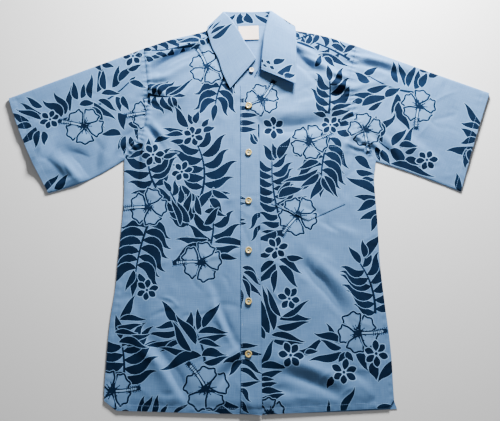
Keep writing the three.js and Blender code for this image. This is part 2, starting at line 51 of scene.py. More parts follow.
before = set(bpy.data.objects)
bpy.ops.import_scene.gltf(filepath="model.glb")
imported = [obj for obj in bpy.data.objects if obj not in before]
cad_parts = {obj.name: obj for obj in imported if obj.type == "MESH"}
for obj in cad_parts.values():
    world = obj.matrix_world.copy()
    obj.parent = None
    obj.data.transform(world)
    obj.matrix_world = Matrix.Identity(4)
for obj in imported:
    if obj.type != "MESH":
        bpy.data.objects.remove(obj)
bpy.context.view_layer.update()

# The drawing's zero lies this far from the frame's: the first button is at y = 186 on it
FIRST_BUTTON_Y = 186.0
DRAWING_SHIFT_Y = sum(corner.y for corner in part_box("button_1")) * 500 - FIRST_BUTTON_Y

# Layers of the laid-out shirt
CAD_CLOTH = 1.2
LAYER = 1.5  # from one layer of cloth to the next one lying on it
PLACKET_SEAM = {"hem_y": -395.0, "top_y": 247.5, "hem_x": 23.0, "top_x": 19.0}
SEAM_RISE_REACH = 60.0  # the right front comes down from the placket over this distance
COLLAR_LIFT = {"from_x": 84.0, "to_x": 112.0, "from_y": 318.0, "to_y": 334.0}

# Corners where the cut pieces' outlines change from one edge to the next
UNDERARM = {"left": (-240, 78), "right": (244, 75)}
SHOULDER_END = {"left": (-210, 308), "right": (214, 313)}
NECK_END = {"left": (-66, 352), "right": (80, 348)}
CUFF_TOP = {"left": (-472, 203), "right": (472, 214)}
CUFF_BOTTOM = {"left": (-383, 12), "right": (404, 15)}
CENTRE_HEM = {"left": (19, -395), "right": (23, -395)}
HEM_CORNER = {"left": (-236, -388), "right": (250, -383)}
NECK_FRONT = {"left": (16, 236), "right": (19.3, 246)}
YOKE_FRONT = {"left": (-50, 329), "right": (70, 326)}


def table(columns, rows):
    """Rows of bare values as a list of dictionaries with named columns."""
    names = columns.split()
    return [dict(zip(names, row)) for row in rows]


# Creases and folds of the upper layer. Each is a soft ridge (height above 0) or trough: its
# middle, its length along the turn in degrees, its half width, and how far its line bows.
# Its height is multiplied by RIDGE_HEIGHT or TROUGH_DEPTH below.
CREASES = table("x y length width height turn bow", [
    [-146, 280, 100, 8, -2.8, 29, 6], [-146, 298, 108, 7, 1.9, 27, 6],
    [-138, 258, 96, 8, 1.2, 30, 5], [-172, 262, 34, 6, -1.4, 60, 0], [-178, 246, 40, 8, 1.2, 12, 0],
    [-160, 168, 66, 11, -1.5, 42, 4], [-148, 186, 90, 14, 1.6, 38, 4],
    [-118, 224, 62, 7, 1.1, 44, 0], [-132, 214, 58, 6, -0.9, 44, 0], [-176, 214, 46, 6, 0.8, -30, 3],
    [-190, 190, 40, 6, -0.8, -24, 0], [-64, 150, 52, 10, -0.5, 80, 0],
    [104, 282, 66, 9, -2.4, -38, -6], [92, 300, 60, 5, -1.3, -46, 0], [112, 302, 70, 8, 1.6, -34, 0],
    [142, 266, 92, 8, 1.9, -30, 5], [126, 244, 66, 7, -1.2, -52, 0], [168, 236, 60, 12, 2.0, -20, 0],
    [176, 214, 52, 7, -1.3, 26, 0], [150, 216, 60, 8, 0.9, -60, 0], [96, 150, 128, 13, -2.0, 8, -9],
    [88, 178, 120, 18, 1.4, 4, -8], [184, 146, 50, 8, -1.0, 50, 0], [196, 120, 60, 7, 0.9, 56, 0],
    [134, -172, 120, 12, -2.0, -50, 6], [152, -154, 120, 15, 1.3, -50, 6],
    [110, -138, 70, 10, -0.7, -68, 0], [112, -345, 116, 12, -1.7, -22, 6],
    [108, -318, 120, 14, 1.2, -20, 6], [60, -352, 50, 9, -0.8, -12, 0],
    [-148, -322, 130, 11, -2.0, -54, 6], [-168, -308, 118, 14, 1.5, -54, 6],
    [-196, -232, 90, 12, -0.8, -70, 0], [-35, -240, 92, 7, -1.6, -64, -5],
    [-46, -228, 88, 8, 1.0, -64, -5], [-30, -318, 66, 7, -1.2, 46, 3],
    [-40, -302, 66, 8, 0.8, 46, 3], [-120, -90, 110, 10, -0.6, 58, 8],
    [-108, -78, 100, 12, 0.6, 58, 8], [-86, 20, 70, 8, -0.5, 62, 0], [150, -52, 40, 7, -0.8, -30, 0],
    [120, -24, 46, 6, -0.6, -26, 0], [176, -60, 60, 10, 0.6, -18, 0],
    [-373, 106, 96, 10, -2.2, 58, 4], [-394, 92, 84, 13, 1.7, 58, 4],
    [-322, 66, 64, 9, -2.4, -50, 6], [-352, 88, 54, 10, -0.9, -36, 0],
    [-345, 50, 70, 11, 1.8, -46, 6], [-290, 92, 64, 10, -0.9, 74, 5], [-274, 86, 58, 9, 0.8, 74, 5],
    [-252, 112, 44, 8, -1.0, 62, 0], [-352, 26, 70, 9, 1.5, 22, 4],
    [-262, 214, 84, 12, -0.7, -56, 0], [252, 262, 96, 8, -1.8, -14, 5],
    [262, 276, 110, 8, 1.6, -14, 5], [236, 232, 60, 8, 0.9, 12, 0], [330, 116, 96, 14, -1.0, -36, 0],
    [300, 128, 90, 13, 0.8, -42, 0], [262, 92, 60, 7, -1.4, -60, 4], [276, 98, 60, 8, 1.2, -60, 4],
    [402, 158, 90, 16, -0.6, -62, 0], [-232, 100, 40, 5, -1.9, 40, 0],
    [-222, 108, 44, 6, 1.5, 44, 0], [-236, 118, 46, 5, -1.5, 58, 3], [-214, 88, 34, 5, -1.5, 66, 0],
    [-204, 96, 40, 6, 1.2, 70, 0], [-246, 110, 30, 6, 1.3, 52, 0], [232, 96, 56, 6, -2.4, -38, 4],
    [222, 108, 50, 7, 1.7, -40, 4], [244, 84, 34, 5, -1.8, -60, 0], [214, 92, 40, 5, -1.4, -28, 0],
    [246, 104, 40, 6, 1.4, -52, 0], [202, 104, 44, 6, 1.0, -24, 0], [-190, 232, 40, 6, -1.3, 8, 0],
    [-182, 222, 42, 6, 1.1, 12, 0], [-186, 204, 34, 5, -1.0, 2, 0], [178, 250, 40, 6, 1.3, -8, 0],
    [180, 238, 38, 5, -1.5, -12, 0], [184, 226, 36, 6, 1.2, -4, 0], [158, 190, 46, 7, -1.1, 24, 0],
    [120, 196, 60, 9, 0.9, 16, 0], [60, 210, 60, 10, -0.7, 30, 0], [-100, 252, 60, 9, 0.8, 40, 4],
    [-64, 214, 70, 8, -0.9, 58, 4], [-52, 190, 66, 9, 0.7, 60, 4], [-40, 100, 50, 6, -0.6, 76, 0],
    [-44, -20, 60, 7, -0.7, 80, 0], [44, 20, 60, 7, -0.6, -78, 0], [36, -150, 66, 8, -0.8, 62, 4],
    [60, -230, 70, 10, 0.7, 58, 4], [-62, -170, 60, 9, -0.6, -60, 0],
    [196, -330, 60, 10, -0.9, -30, 4], [216, -180, 60, 9, -0.7, -74, 0],
    [-220, -300, 60, 9, -0.8, 66, 0], [-188, 128, 44, 6, -1.6, -52, 0],
    [-176, 136, 44, 8, 1.2, -52, 0], [-214, 60, 90, 7, -1.2, 86, 0], [206, 66, 80, 8, -0.9, -80, 0],
])

# Long shallow waves that no part of a laid-out cloth is without
RIPPLES = table("wave turn height phase", [
    [150, 18, 0.30, 0.4], [118, 71, 0.26, 2.1], [86, 128, 0.20, 4.0],
    [61, 44, 0.13, 1.2], [47, 155, 0.10, 5.1], [33, 96, 0.07, 0.9], [24, 12, 0.05, 3.3],
])

# Collar stations from the left front end, round the back, to the right front end: share of
# the neckline, upper edge of the stand, side to which the leaf folds (-90 under, 90 over),
# and outer edge of the leaf
COLLAR = table("at top_x top_y top_z turn edge_x edge_y edge_z", [
    [0.03, 19, 268, 6.5, 90, -30, 214, 9],
    [0.075, 12, 281, 8.5, 90, -37, 222, 9],
    [0.13, 0, 301, 9, 90, -52, 255, 8.8],
    [0.19, -11, 318, 9.5, 90, -61, 284, 8.8],
    [0.25, -25, 345, 10, 90, -73, 308, 8.8],
    [0.31, -39, 366, 10, 80, -80, 330, 8.8],
    [0.335, -46, 375, 9.5, 50, -83, 344, 8.4],
    [0.355, -50, 381, 8, 5, -83, 355, 4.2],
    [0.38, -45, 383.5, 6.4, -45, -72, 358, 0.6],
    [0.42, -34, 384, 5, -90, -54, 344, 0.6],
    [0.52, 0, 384, 5, -90, 0, 344, 0.6],
    [0.62, 28, 385, 5, -90, 48, 344, 0.6],
    [0.665, 38, 385, 6.4, -45, 74, 358, 0.6],
    [0.695, 43, 382, 9, 5, 90, 356, 4.2],
    [0.715, 42, 375, 11.5, 50, 93, 346, 8.6],
    [0.75, 38, 360, 13.5, 80, 93, 333, 11],
    [0.81, 32, 336, 14.5, 90, 93, 306, 13],
    [0.87, 29, 308, 15, 90, 93, 280, 14],
    [0.93, 26, 283, 14, 90, 93, 254, 16],
    [0.985, 24, 260, 11, 90, 91, 228, 18],
])
LEAF_FIRST_STATION = 1
COLLAR_STATIONS = 220
ROLL_RADIUS = 2.2
ROLL_GAP = 0.5
NECK_MIDDLE = np.array([5.0, 318.0])
CORNER_RAISE = 2.6
CORNER_REACH = 36.0

# The print. Fronds: foot and tip of the stem, its bow, leaves on each side, leaf length and
# the angle at which the leaves stand off the stem
FROND = "x0 y0 x1 y1 bow pairs leaf angle"
LEAF = "x0 y0 x1 y1 bend width"
FLOWER = "x y radius column_turn"
BLOSSOM = "x y radius turn"
PRINT = {
    "front_left": {
        "fronds": table(FROND, [
            [-204, 213, -150, 205, 3, 4, 32, 58], [-48, 247, -66, 190, 3, 4, 44, 54],
            [-93, 2, -103, 112, 12, 6, 51, 72], [-176, 20, -194, 82, -5, 4, 46, 74],
            [-78, -104, -68, -40, 4, 3, 46, 68], [-190, -48, -211, -140, 3, 6, 54, 72],
            [-115, -52, -150, 13, 0, 4, 32, 42], [-226, -338, -234, -262, 3, 5, 54, 76],
            [-80, -306, -98, -250, 4, 0, 34, 0],
        ]),
        "leaves": table(LEAF, [
            [-160, 207, -113, 238, -8, 6], [-152, 204, -141, 181, 8, 7],
            [-184, 112, -157, 122, 8, 8], [-168, 85, -139, 89, -10, 8],
            [-205, 110, -230, 97, 8, 9], [-200, 92, -230, 84, -8, 8],
            [-118, 143, -143, 178, 8, 12], [-113, 148, -117, 168, -8, 9],
            [-103, 150, -101, 173, 8, 10], [-93, 145, -79, 157, -8, 8],
            [-88, 132, -70, 143, 10, 9], [-128, 136, -163, 138, 8, 8],
            [-128, 127, -160, 128, -8, 8], [-126, 117, -150, 113, 8, 8],
            [-92, -18, -72, 18, 10, 12], [-70, 18, -42, 0, -8, 10], [-76, 0, -52, -25, 8, 12],
            [-85, -26, -48, -30, 10, 9], [-85, -50, -60, -22, -8, 11], [-118, -30, -113, 8, 8, 10],
            [-107, -28, -98, -6, -8, 9], [-112, -46, -135, -12, 6, 13],
            [-130, -52, -144, -4, -8, 8], [-90, -32, -102, 2, 8, 9],
            [-78, -78, -131, -80, 10, 11], [-84, -90, -139, -115, -12, 12],
            [-60, -113, -27, -113, 8, 9], [-66, -84, 0, -86, 8, 10],
            [-215, -136, -226, -170, 8, 9], [-205, -142, -190, -162, -8, 8],
            [-127, -232, -158, -199, 8, 12], [-128, -240, -166, -239, -12, 9],
            [-126, -245, -179, -256, 12, 9], [-126, -260, -182, -277, 10, 10],
            [-122, -266, -158, -281, -8, 7], [-100, -284, -157, -281, 10, 9],
            [-86, -292, -153, -311, -12, 14], [-106, -250, -108, -217, 8, 11],
            [-95, -246, -93, -212, -8, 9], [-84, -243, -59, -202, 8, 12],
            [-97, -272, -128, -224, -8, 12], [-105, -284, -138, -238, 8, 11],
            [-93, -251, -44, -248, 10, 9], [-95, -262, -47, -258, -8, 10],
            [-92, -268, -56, -273, 8, 8], [-86, -292, -45, -288, 14, 12],
            [-82, -304, -42, -296, -8, 9], [-233, -276, -187, -253, 10, 9],
            [-238, -268, -188, -273, 14, 10], [-238, -226, -213, -189, -8, 11],
            [-238, -227, -195, -225, 8, 8], [-242, -240, -202, -238, -8, 9],
            [-246, -250, -209, -251, 6, 7], [-136, -396, -112, -377, 8, 5],
            [-108, -376, -60, -386, 12, 10], [-82, -386, -26, -393, 12, 11],
            [-18, -382, -54, -371, 10, 8], [-202, -397, -188, -367, -10, 9],
            [-188, -397, -176, -366, 8, 9], [-174, -397, -163, -365, -8, 8],
            [-156, -397, -148, -379, 8, 6], [-228, -388, -210, -397, 0, 9],
            [-17, -285, -43, -305, 14, 9], [-12, -301, -35, -323, -10, 9],
        ]),
        "flowers": table(FLOWER, [
            [-84, 268, 35, 118], [-192, -16, 37, 186], [-90, -121, 37, 184],
            [-77, -350, 41, 128], [-246, -354, 36, 8],
        ]),
        "blossoms": table(BLOSSOM, [
            [-129, 53, 19, 10], [-109, 125, 20, 40], [-185, 87, 21, 70], [-189, -173, 19, 20],
        ]),
    },
    "front_right": {
        "fronds": table(FROND, [
            [66, -62, 44, 72, -7, 9, 38, 72], [156, 122, 138, 42, 4, 5, 48, 62],
            [155, 170, 158, 235, 2, 4, 44, 52], [232, -216, 207, -124, 8, 6, 46, 62],
        ]),
        "leaves": table(LEAF, [
            [50, 76, 29, 102, 8, 11], [50, 78, 47, 106, -8, 10], [58, 78, 76, 118, 8, 13],
            [53, 10, 80, 34, -8, 10], [56, 2, 97, 22, 10, 13], [58, -12, 104, 1, -8, 10],
            [138, 44, 120, 2, 8, 12], [140, 42, 157, 9, -8, 9], [143, 45, 167, 8, 8, 9],
            [132, 58, 72, 32, 10, 9], [134, 72, 98, 62, -8, 10], [133, 50, 103, 24, 8, 10],
            [165, 150, 196, 152, 8, 12], [170, 135, 208, 131, -8, 12], [160, 165, 192, 177, 8, 9],
            [150, 163, 128, 172, -8, 8], [178, 156, 236, 176, 10, 8], [160, 176, 196, 190, 8, 8],
            [203, 83, 232, 63, 8, 13], [205, 57, 236, 48, -8, 10], [214, 36, 240, 39, 8, 8],
            [242, 10, 193, 41, -10, 13], [242, 5, 205, 3, 8, 10], [243, -6, 208, -20, -8, 12],
            [244, -20, 214, -39, 8, 11], [246, -30, 231, -58, -6, 10],
            [50, -62, 20, -82, 14, 12], [40, -103, 18, -111, 8, 8], [47, -120, 18, -139, -8, 9],
            [49, -124, 20, -159, 8, 11], [52, -136, 44, -173, -8, 9], [55, -128, 87, -162, 10, 12],
            [56, -116, 94, -138, 10, 10], [70, -110, 97, -115, -8, 9],
            [37, -252, 18, -194, 6, 16], [45, -247, 29, -175, -6, 12], [58, -222, 34, -176, 6, 9],
            [55, -227, 106, -224, 8, 11], [50, -240, 103, -234, -8, 10], [60, -222, 105, -197, -8, 8],
            [40, -255, 95, -264, 8, 9], [40, -263, 91, -271, -6, 7], [28, -262, 19, -238, 0, 8],
            [21, -306, 43, -269, -8, 9], [87, -284, 135, -267, -16, 10],
            [168, -278, 134, -267, 10, 9], [101, -288, 122, -283, 8, 7],
            [19, -312, 65, -310, 8, 10], [19, -326, 55, -321, -6, 9], [19, -334, 42, -333, 4, 6],
            [19, -342, 47, -341, -6, 7], [19, -355, 55, -354, 6, 9], [19, -368, 59, -361, -6, 10],
            [218, -113, 242, -72, 8, 14], [214, -112, 214, -83, -8, 10],
            [168, -270, 143, -239, 10, 9], [168, -268, 125, -252, -10, 11],
            [168, -285, 116, -301, 10, 11], [173, -285, 164, -302, 8, 9],
            [178, -284, 186, -300, -8, 9], [192, -282, 213, -313, 8, 12],
            [148, -328, 142, -347, 8, 9], [227, -303, 228, -331, -8, 14],
            [258, -301, 237, -334, 8, 13], [169, -398, 185, -352, 12, 10],
            [144, -398, 142, -373, 6, 5], [228, -383, 264, -382, 6, 7],
            [135, 293, 192, 274, 8, 10], [130, 268, 143, 290, -8, 9], [148, 288, 168, 271, 8, 9],
        ]),
        "flowers": table(FLOWER, [
            [116, 113, 37, 26], [92, -33, 36, 232], [199, -251, 38, 6], [25, 199, 33, 60],
            [225, 137, 34, 280], [37, -394, 30, 200],
        ]),
        "blossoms": table(BLOSSOM, [
            [48, 142, 21, 30], [51, -96, 20, 12], [74, -189, 20, 50], [75, -291, 22, 0],
            [171, -321, 21, 24], [231, -288, 21, 40], [158, 148, 18, 0],
        ]),
    },
    "sleeve_left": {
        "fronds": table(FROND, [[-362, 158, -236, 236, 10, 0, 20, 0]]),
        "leaves": table(LEAF, [
            [-349, 175, -352, 223, 8, 9], [-359, 168, -379, 211, -12, 11],
            [-335, 199, -347, 232, 8, 10], [-330, 202, -324, 229, -8, 9],
            [-309, 201, -313, 246, 10, 10], [-299, 214, -292, 262, -10, 11],
            [-282, 219, -291, 258, 8, 10], [-270, 225, -257, 265, -10, 12],
            [-256, 237, -234, 268, 8, 11], [-332, 188, -305, 193, 8, 10],
            [-296, 198, -262, 180, 10, 9], [-304, 193, -266, 161, -8, 10],
            [-307, 184, -283, 147, 8, 10], [-290, 211, -258, 214, 8, 9],
            [-310, 278, -293, 262, 6, 9], [-293, 277, -271, 268, -6, 9],
            [-404, 184, -434, 201, 8, 9], [-366, 163, -399, 197, -16, 13],
            [-405, 170, -444, 188, 10, 9], [-405, 158, -449, 178, -8, 9],
            [-428, 155, -461, 168, 8, 10], [-422, 143, -453, 145, -8, 11],
            [-414, 143, -438, 108, 8, 12], [-407, 136, -413, 105, -8, 10],
            [-401, 134, -394, 109, 8, 10], [-262, 206, -251, 179, 8, 10],
            [-248, 208, -238, 180, -8, 9], [-256, 172, -243, 142, 8, 11],
            [-249, 128, -283, 131, -10, 11], [-246, 125, -251, 101, 8, 9],
            [-240, 126, -243, 91, -8, 9], [-234, 178, -214, 120, 8, 8],
            [-236, 150, -214, 142, 8, 9], [-230, 124, -222, 98, -6, 8],
            [-390, 14, -369, 45, 8, 10], [-372, 20, -349, 43, -8, 12],
            [-236, 236, -205, 226, 8, 9], [-240, 262, -216, 270, -8, 8],
        ]),
        "flowers": table(FLOWER, [[-321, 145, 37, 170], [-197, 172, 34, 190]]),
        "blossoms": table(BLOSSOM, [[-388, 159, 19, 20], [-231, 291, 20, 10]]),
    },
    "sleeve_right": {
        "fronds": table(FROND, [
            [325, 214, 240, 246, -6, 0, 20, 0], [330, 66, 254, 112, -5, 0, 20, 0],
        ]),
        "leaves": table(LEAF, [
            [293, 234, 284, 274, 8, 10], [306, 228, 298, 272, -8, 9], [313, 225, 327, 269, 8, 10],
            [325, 221, 336, 256, -8, 12], [340, 224, 348, 253, 8, 12], [238, 236, 211, 253, 8, 13],
            [226, 254, 252, 265, -8, 10], [246, 213, 206, 207, 8, 10], [230, 219, 270, 226, -8, 10],
            [220, 186, 268, 208, 8, 13], [232, 178, 258, 192, -6, 8], [267, 204, 293, 223, 8, 12],
            [290, 212, 281, 173, 10, 11], [293, 195, 307, 140, -12, 13],
            [258, 112, 278, 172, 22, 12], [252, 122, 250, 162, -14, 13],
            [276, 104, 301, 136, 8, 12], [290, 100, 318, 138, -8, 10], [289, 104, 322, 106, 10, 10],
            [300, 92, 322, 98, -8, 8], [244, 102, 252, 78, 6, 9], [257, 98, 268, 72, -6, 11],
            [272, 98, 302, 68, 6, 16], [272, 70, 346, 49, 8, 11], [300, 78, 330, 70, 8, 11],
            [452, 146, 423, 186, 8, 10], [448, 138, 417, 151, -8, 10], [443, 123, 415, 137, 8, 12],
            [441, 116, 412, 112, -8, 10], [434, 103, 387, 94, 10, 13], [418, 98, 416, 65, 8, 12],
            [427, 98, 424, 73, -6, 9], [405, 15, 397, 46, 8, 10], [355, 245, 374, 255, 8, 10],
            [336, 261, 352, 257, 4, 6], [222, 200, 204, 194, 6, 10], [230, 168, 208, 160, 8, 9],
        ]),
        "flowers": table(FLOWER, [[332, 186, 34, 262], [225, 137, 34, 280]]),
        "blossoms": table(BLOSSOM, [[342, 77, 20, 10]]),
    },
    "yoke_left": {
        "fronds": table(FROND, [
            [-106, 315, -194, 303, -4, 4, 30, 50], [-54, 335, -104, 326, 0, 3, 26, 50],
        ]),
        "leaves": table(LEAF, [
            [-92, 318, -118, 300, 8, 10], [-96, 322, -138, 322, -8, 9], [-186, 296, -160, 288, 6, 8],
            [-205, 288, -188, 272, 8, 9],
        ]),
        "flowers": [],
        "blossoms": table(BLOSSOM, [[-84, 312, 17, 20]]),
    },
    "yoke_right": {
        "fronds": table(FROND, [
            [200, 283, 102, 330, 4, 5, 32, 50], [138, 343, 94, 326, 0, 3, 30, 45],
        ]),
        "leaves": table(LEAF, [
            [163, 314, 192, 301, 8, 10], [212, 312, 188, 300, -8, 9], [135, 293, 192, 274, 8, 10],
            [148, 288, 168, 271, 8, 9], [94, 322, 128, 305, -6, 9],
        ]),
        "flowers": [], "blossoms": [],
    },
    "placket": {
        "fronds": [],
        "leaves": table(LEAF, [
            [-24, 196, 4, 198, 0, 7], [-24, 181, 0, 181, 0, 7], [-24, 166, 15, 167, 0, 8],
            [-24, 151, 9, 151, 0, 9], [-24, 137, 9, 138, 0, 9], [15, 108, 2, 127, 10, 8],
            [17, 112, 8, 128, 0, 4], [-24, 3, -6, -1, 4, 4], [-24, -11, -8, -9, 0, 4],
            [-24, -40, -9, -41, 0, 4], [-24, -49, -7, -48, 0, 5], [30, -34, -4, -55, -26, 8],
            [30, -54, 2, -78, -20, 7], [-13, -131, 18, -151, 14, 8],
            [-11, -140, 20, -160, 14, 8], [-11, -145, 17, -182, -10, 9],
            [-13, -153, 3, -186, 10, 7], [-18, -170, -13, -203, 10, 5],
            [-24, -278, 11, -273, 6, 7], [-24, -292, 22, -287, 10, 7],
            [-22, -304, 22, -319, 16, 8], [-22, -317, 20, -333, 14, 7],
            [-22, -342, 16, -339, -6, 6], [-20, -352, 3, -369, 20, 7],
            [-24, -371, -2, -389, 10, 8], [17, 150, 20, 122, 10, 5],
        ]),
        "flowers": table(FLOWER, [[25, 199, 33, 60]]),
        "blossoms": [],
    },
    "collar_leaf": {
        "fronds": table(FROND, [[250, 78, 210, 30, 4, 3, 30, 50], [330, 60, 280, 52, 4, 3, 28, 50]]),
        "leaves": table(LEAF, [
            [108, 70, 101, 34, 8, 9], [97, 70, 90, 22, -8, 9], [118, 64, 122, 36, 8, 8],
            [128, 76, 140, 50, 8, 8], [449, 36, 430, 51, 8, 8], [466, 42, 438, 66, -8, 9],
            [468, 56, 453, 70, 8, 8], [455, 12, 449, 16, 0, 6], [453, 25, 446, 27, 0, 6],
            [461, 32, 454, 34, 0, 6], [462, 20, 457, 21, 0, 6],
        ]),
        "flowers": [], "blossoms": [],
    },
    "collar_stand": {
        "fronds": table(FROND, [[150, 20, 190, 8, 3, 3, 20, 48], [300, 10, 262, 22, 3, 3, 20, 48]]),
        "leaves": table(LEAF, [
            [196, 2, 206, 26, 8, 8], [212, 2, 216, 28, -8, 8], [228, 4, 222, 29, 8, 8],
            [244, 2, 236, 26, -8, 8], [318, 30, 330, 8, 8, 8], [330, 31, 346, 12, -8, 8],
            [80, 4, 92, 28, 8, 8], [98, 2, 104, 26, -8, 8],
        ]),
        "flowers": table(FLOWER, [[378, 16, 20, 60]]), "blossoms": [],
    },
}
BARE = {"fronds": [], "leaves": [], "flowers": [], "blossoms": []}

INK = 1.0
BASE = 0.0
LIGHT = -1.0  # unprinted rim round a motif, and a flower's petals
INSIDE_SHARE = 0.45  # how much of the print shows on the cloth's wrong side


def smooth(t):
    """A soft step from 0 to 1."""
    t = np.clip(t, 0, 1)
    return t * t * (3 - 2 * t)


# The print's shapes

def spaced(points, step):
    """An open line again, with points about step apart."""
    points = np.asarray(points, float)
    along = np.concatenate([[0], np.cumsum(np.hypot(*np.diff(points[:, :2], axis=0).T))])
    count = max(2, int(round(along[-1] / step)) + 1)
    at = np.linspace(0, along[-1], count)
    return np.stack([np.interp(at, along, column) for column in points.T], axis=1)


def side_vectors(line):
    """Unit vectors to the left of a line at each of its points."""
    ahead = np.gradient(line, axis=0)
    ahead /= np.maximum(np.linalg.norm(ahead, axis=1), 1e-9)[:, None]
    return np.stack([-ahead[:, 1], ahead[:, 0]], axis=1)


def ribbon(line, half):
    """Closed outline of a band along a line, half wide to each side."""
    side = side_vectors(line) * np.asarray(half)[:, None]
    return np.concatenate([line + side, (line - side)[::-1]])


def turning(outline):
    """Positive for a closed outline that runs counter-clockwise."""
    x, y = outline.T
    return np.sum(x * np.roll(y, -1) - np.roll(x, -1) * y)


def grown(outline, by):
    """A closed outline moved out by a distance."""
    ahead = np.roll(outline, -1, axis=0) - np.roll(outline, 1, axis=0)
    ahead /= np.maximum(np.linalg.norm(ahead, axis=1), 1e-9)[:, None]
    out = np.stack([ahead[:, 1], -ahead[:, 0]], axis=1)
    return outline + out * by * np.sign(turning(outline))


HALO = 0.9  # width of the unprinted rim round a motif
LEAF_STEPS = 11
LEAF_SWING = 1.7 * math.pi  # how far its heading swings aside and back, from foot to tip
LEAF_LEAN = 0.004  # sideways belly for each degree of bend and millimetre of width
LEAF_BELLY = 0.62  # greatest half width as a share of the width
SINGLE_LEAF = {"length": 1.17, "width": 1.05, "bend": 1.6}  # how much more than its row says


def leaf_outline(x, y, turn, length, width, bend):
    """One leaf: a narrow foot, a broad belly and a long tip that hooks back."""
    t = np.linspace(0, 1, LEAF_STEPS + 1)
    heading = np.radians(turn + bend * np.cos(LEAF_SWING * t))
    steps = np.stack([np.cos(heading), np.sin(heading)], axis=1)[:-1] * length / LEAF_STEPS
    spine = np.array([x, y]) + np.concatenate([[[0, 0]], np.cumsum(steps, axis=0)])
    spine += side_vectors(spine) * np.sin(2 * math.pi * t)[:, None] * bend * width * LEAF_LEAN
    half = LEAF_BELLY * width * np.maximum(np.sin(math.pi * t ** 0.72), 0) ** 1.15 + 0.3
    return ribbon(spine, half)


def with_halo(outline):
    """A printed shape over its unprinted rim."""
    return [(grown(outline, HALO), LIGHT), (outline, INK)]


def frond(row, chance):
    """A stem with leaves on both sides, each a little unlike the next, and one at its tip."""
    foot = np.array([row["x0"], row["y0"]], float)
    tip = np.array([row["x1"], row["y1"]], float)
    along = tip - foot
    left = np.array([-along[1], along[0]]) / np.linalg.norm(along)
    t = np.linspace(0, 1, 9)[:, None]
    stem = foot + along * t - left * row["bow"] * 4 * t * (1 - t)
    headings = np.degrees(np.unwrap(np.arctan2(*np.gradient(stem, axis=0).T[::-1])))
    shapes = []
    for i in range(row["pairs"]):
        for side, offset in ((1, 0.15), (-1, 0.55)):
            share = (i + offset) / row["pairs"]
            x = np.interp(share, t[:, 0], stem[:, 0])
            y = np.interp(share, t[:, 0], stem[:, 1])
            heading = np.interp(share, t[:, 0], headings)
            length = row["leaf"] * (1.06 + 0.25 * math.sin(math.pi * share))
            length *= chance.uniform(0.88, 1.12)
            angle = row["angle"] * (1.12 - 0.3 * share) + chance.uniform(-6, 6)
            width = 0.18 * length + 2.2
            bend = side * chance.uniform(20, 34)
            outline = leaf_outline(x, y, heading + side * angle, length, width, bend)
            shapes += with_halo(outline)
    length = row["leaf"] * 0.85
    outline = leaf_outline(*tip, headings[-1], length, 0.21 * length + 2.0, chance.uniform(-14, 14))
    shapes += with_halo(outline)
    half = np.linspace(2.6, 1.3, len(stem))
    return shapes + [(ribbon(stem, half), INK)]


def single_leaf(row):
    """A leaf of its own, drawn a little longer and more bent than its row says."""
    dx, dy = row["x1"] - row["x0"], row["y1"] - row["y0"]
    turn = math.degrees(math.atan2(dy, dx))
    length = math.hypot(dx, dy) * SINGLE_LEAF["length"]
    width, bend = (row[k] * SINGLE_LEAF[k] for k in ("width", "bend"))
    return with_halo(leaf_outline(row["x0"], row["y0"], turn, length, width, bend))


def disc(x, y, radius, sides=7):
    """A dot with few sides."""
    a = np.linspace(0, 2 * math.pi, sides, endpoint=False)
    return np.stack([x + radius * np.cos(a), y + radius * np.sin(a)], axis=1)


LINE = 3.5  # width of a flower's drawn line
PETAL_FILL = -0.25  # a flower's petals are a little paler than the cloth
PETALS = 5
STAMENS = 12


def petal_outline(centre, turn, radius, chance):
    """A broad petal with a wavy outer edge."""
    t = np.linspace(0, 2 * math.pi, 36, endpoint=False)
    outer = np.clip(np.cos(t) + 0.35, 0, 1)
    wave = 1 + 0.11 * outer * np.sin(7 * t + chance.uniform(0, 6)) + 0.03 * np.sin(3 * t)
    along = radius * (0.56 + 0.44 * np.cos(t) * wave)
    across = radius * 0.6 * np.sin(t) * (0.72 + 0.34 * np.cos(t)) * wave
    a = math.radians(turn)
    x = centre[0] + along * math.cos(a) - across * math.sin(a)
    y = centre[1] + along * math.sin(a) + across * math.cos(a)
    return np.stack([x, y], axis=1)


def flower(row, chance):
    """An open five-petalled flower in outline, with its stamens and a dotted column."""
    centre = np.array([row["x"], row["y"]], float)
    radius = row["radius"]
    shapes = []
    first = row["column_turn"] + 36 + chance.uniform(-6, 6)
    for i in range(PETALS):
        turn = first + 72 * i + chance.uniform(-5, 5)
        outline = petal_outline(centre, turn, radius * chance.uniform(0.94, 1.06), chance)
        shapes += [(grown(outline, HALO), LIGHT), (outline, INK), (grown(outline, -LINE), PETAL_FILL)]
    for i in range(STAMENS):
        a = math.radians(first + 360 * i / STAMENS + chance.uniform(-8, 8))
        reach = radius * chance.uniform(0.26, 0.46)
        ahead = np.array([math.cos(a), math.sin(a)])
        line = centre + np.outer(np.linspace(0.04 * radius, reach, 4), ahead)
        shapes.append((ribbon(line, [1.5, 1.2, 0.9, 0.6]), INK))
        shapes.append((disc(*(centre + ahead * reach), 1.2), INK))
    shapes.append((disc(*centre, radius * 0.13, 10), INK))
    return shapes + column(row, centre, radius, chance)


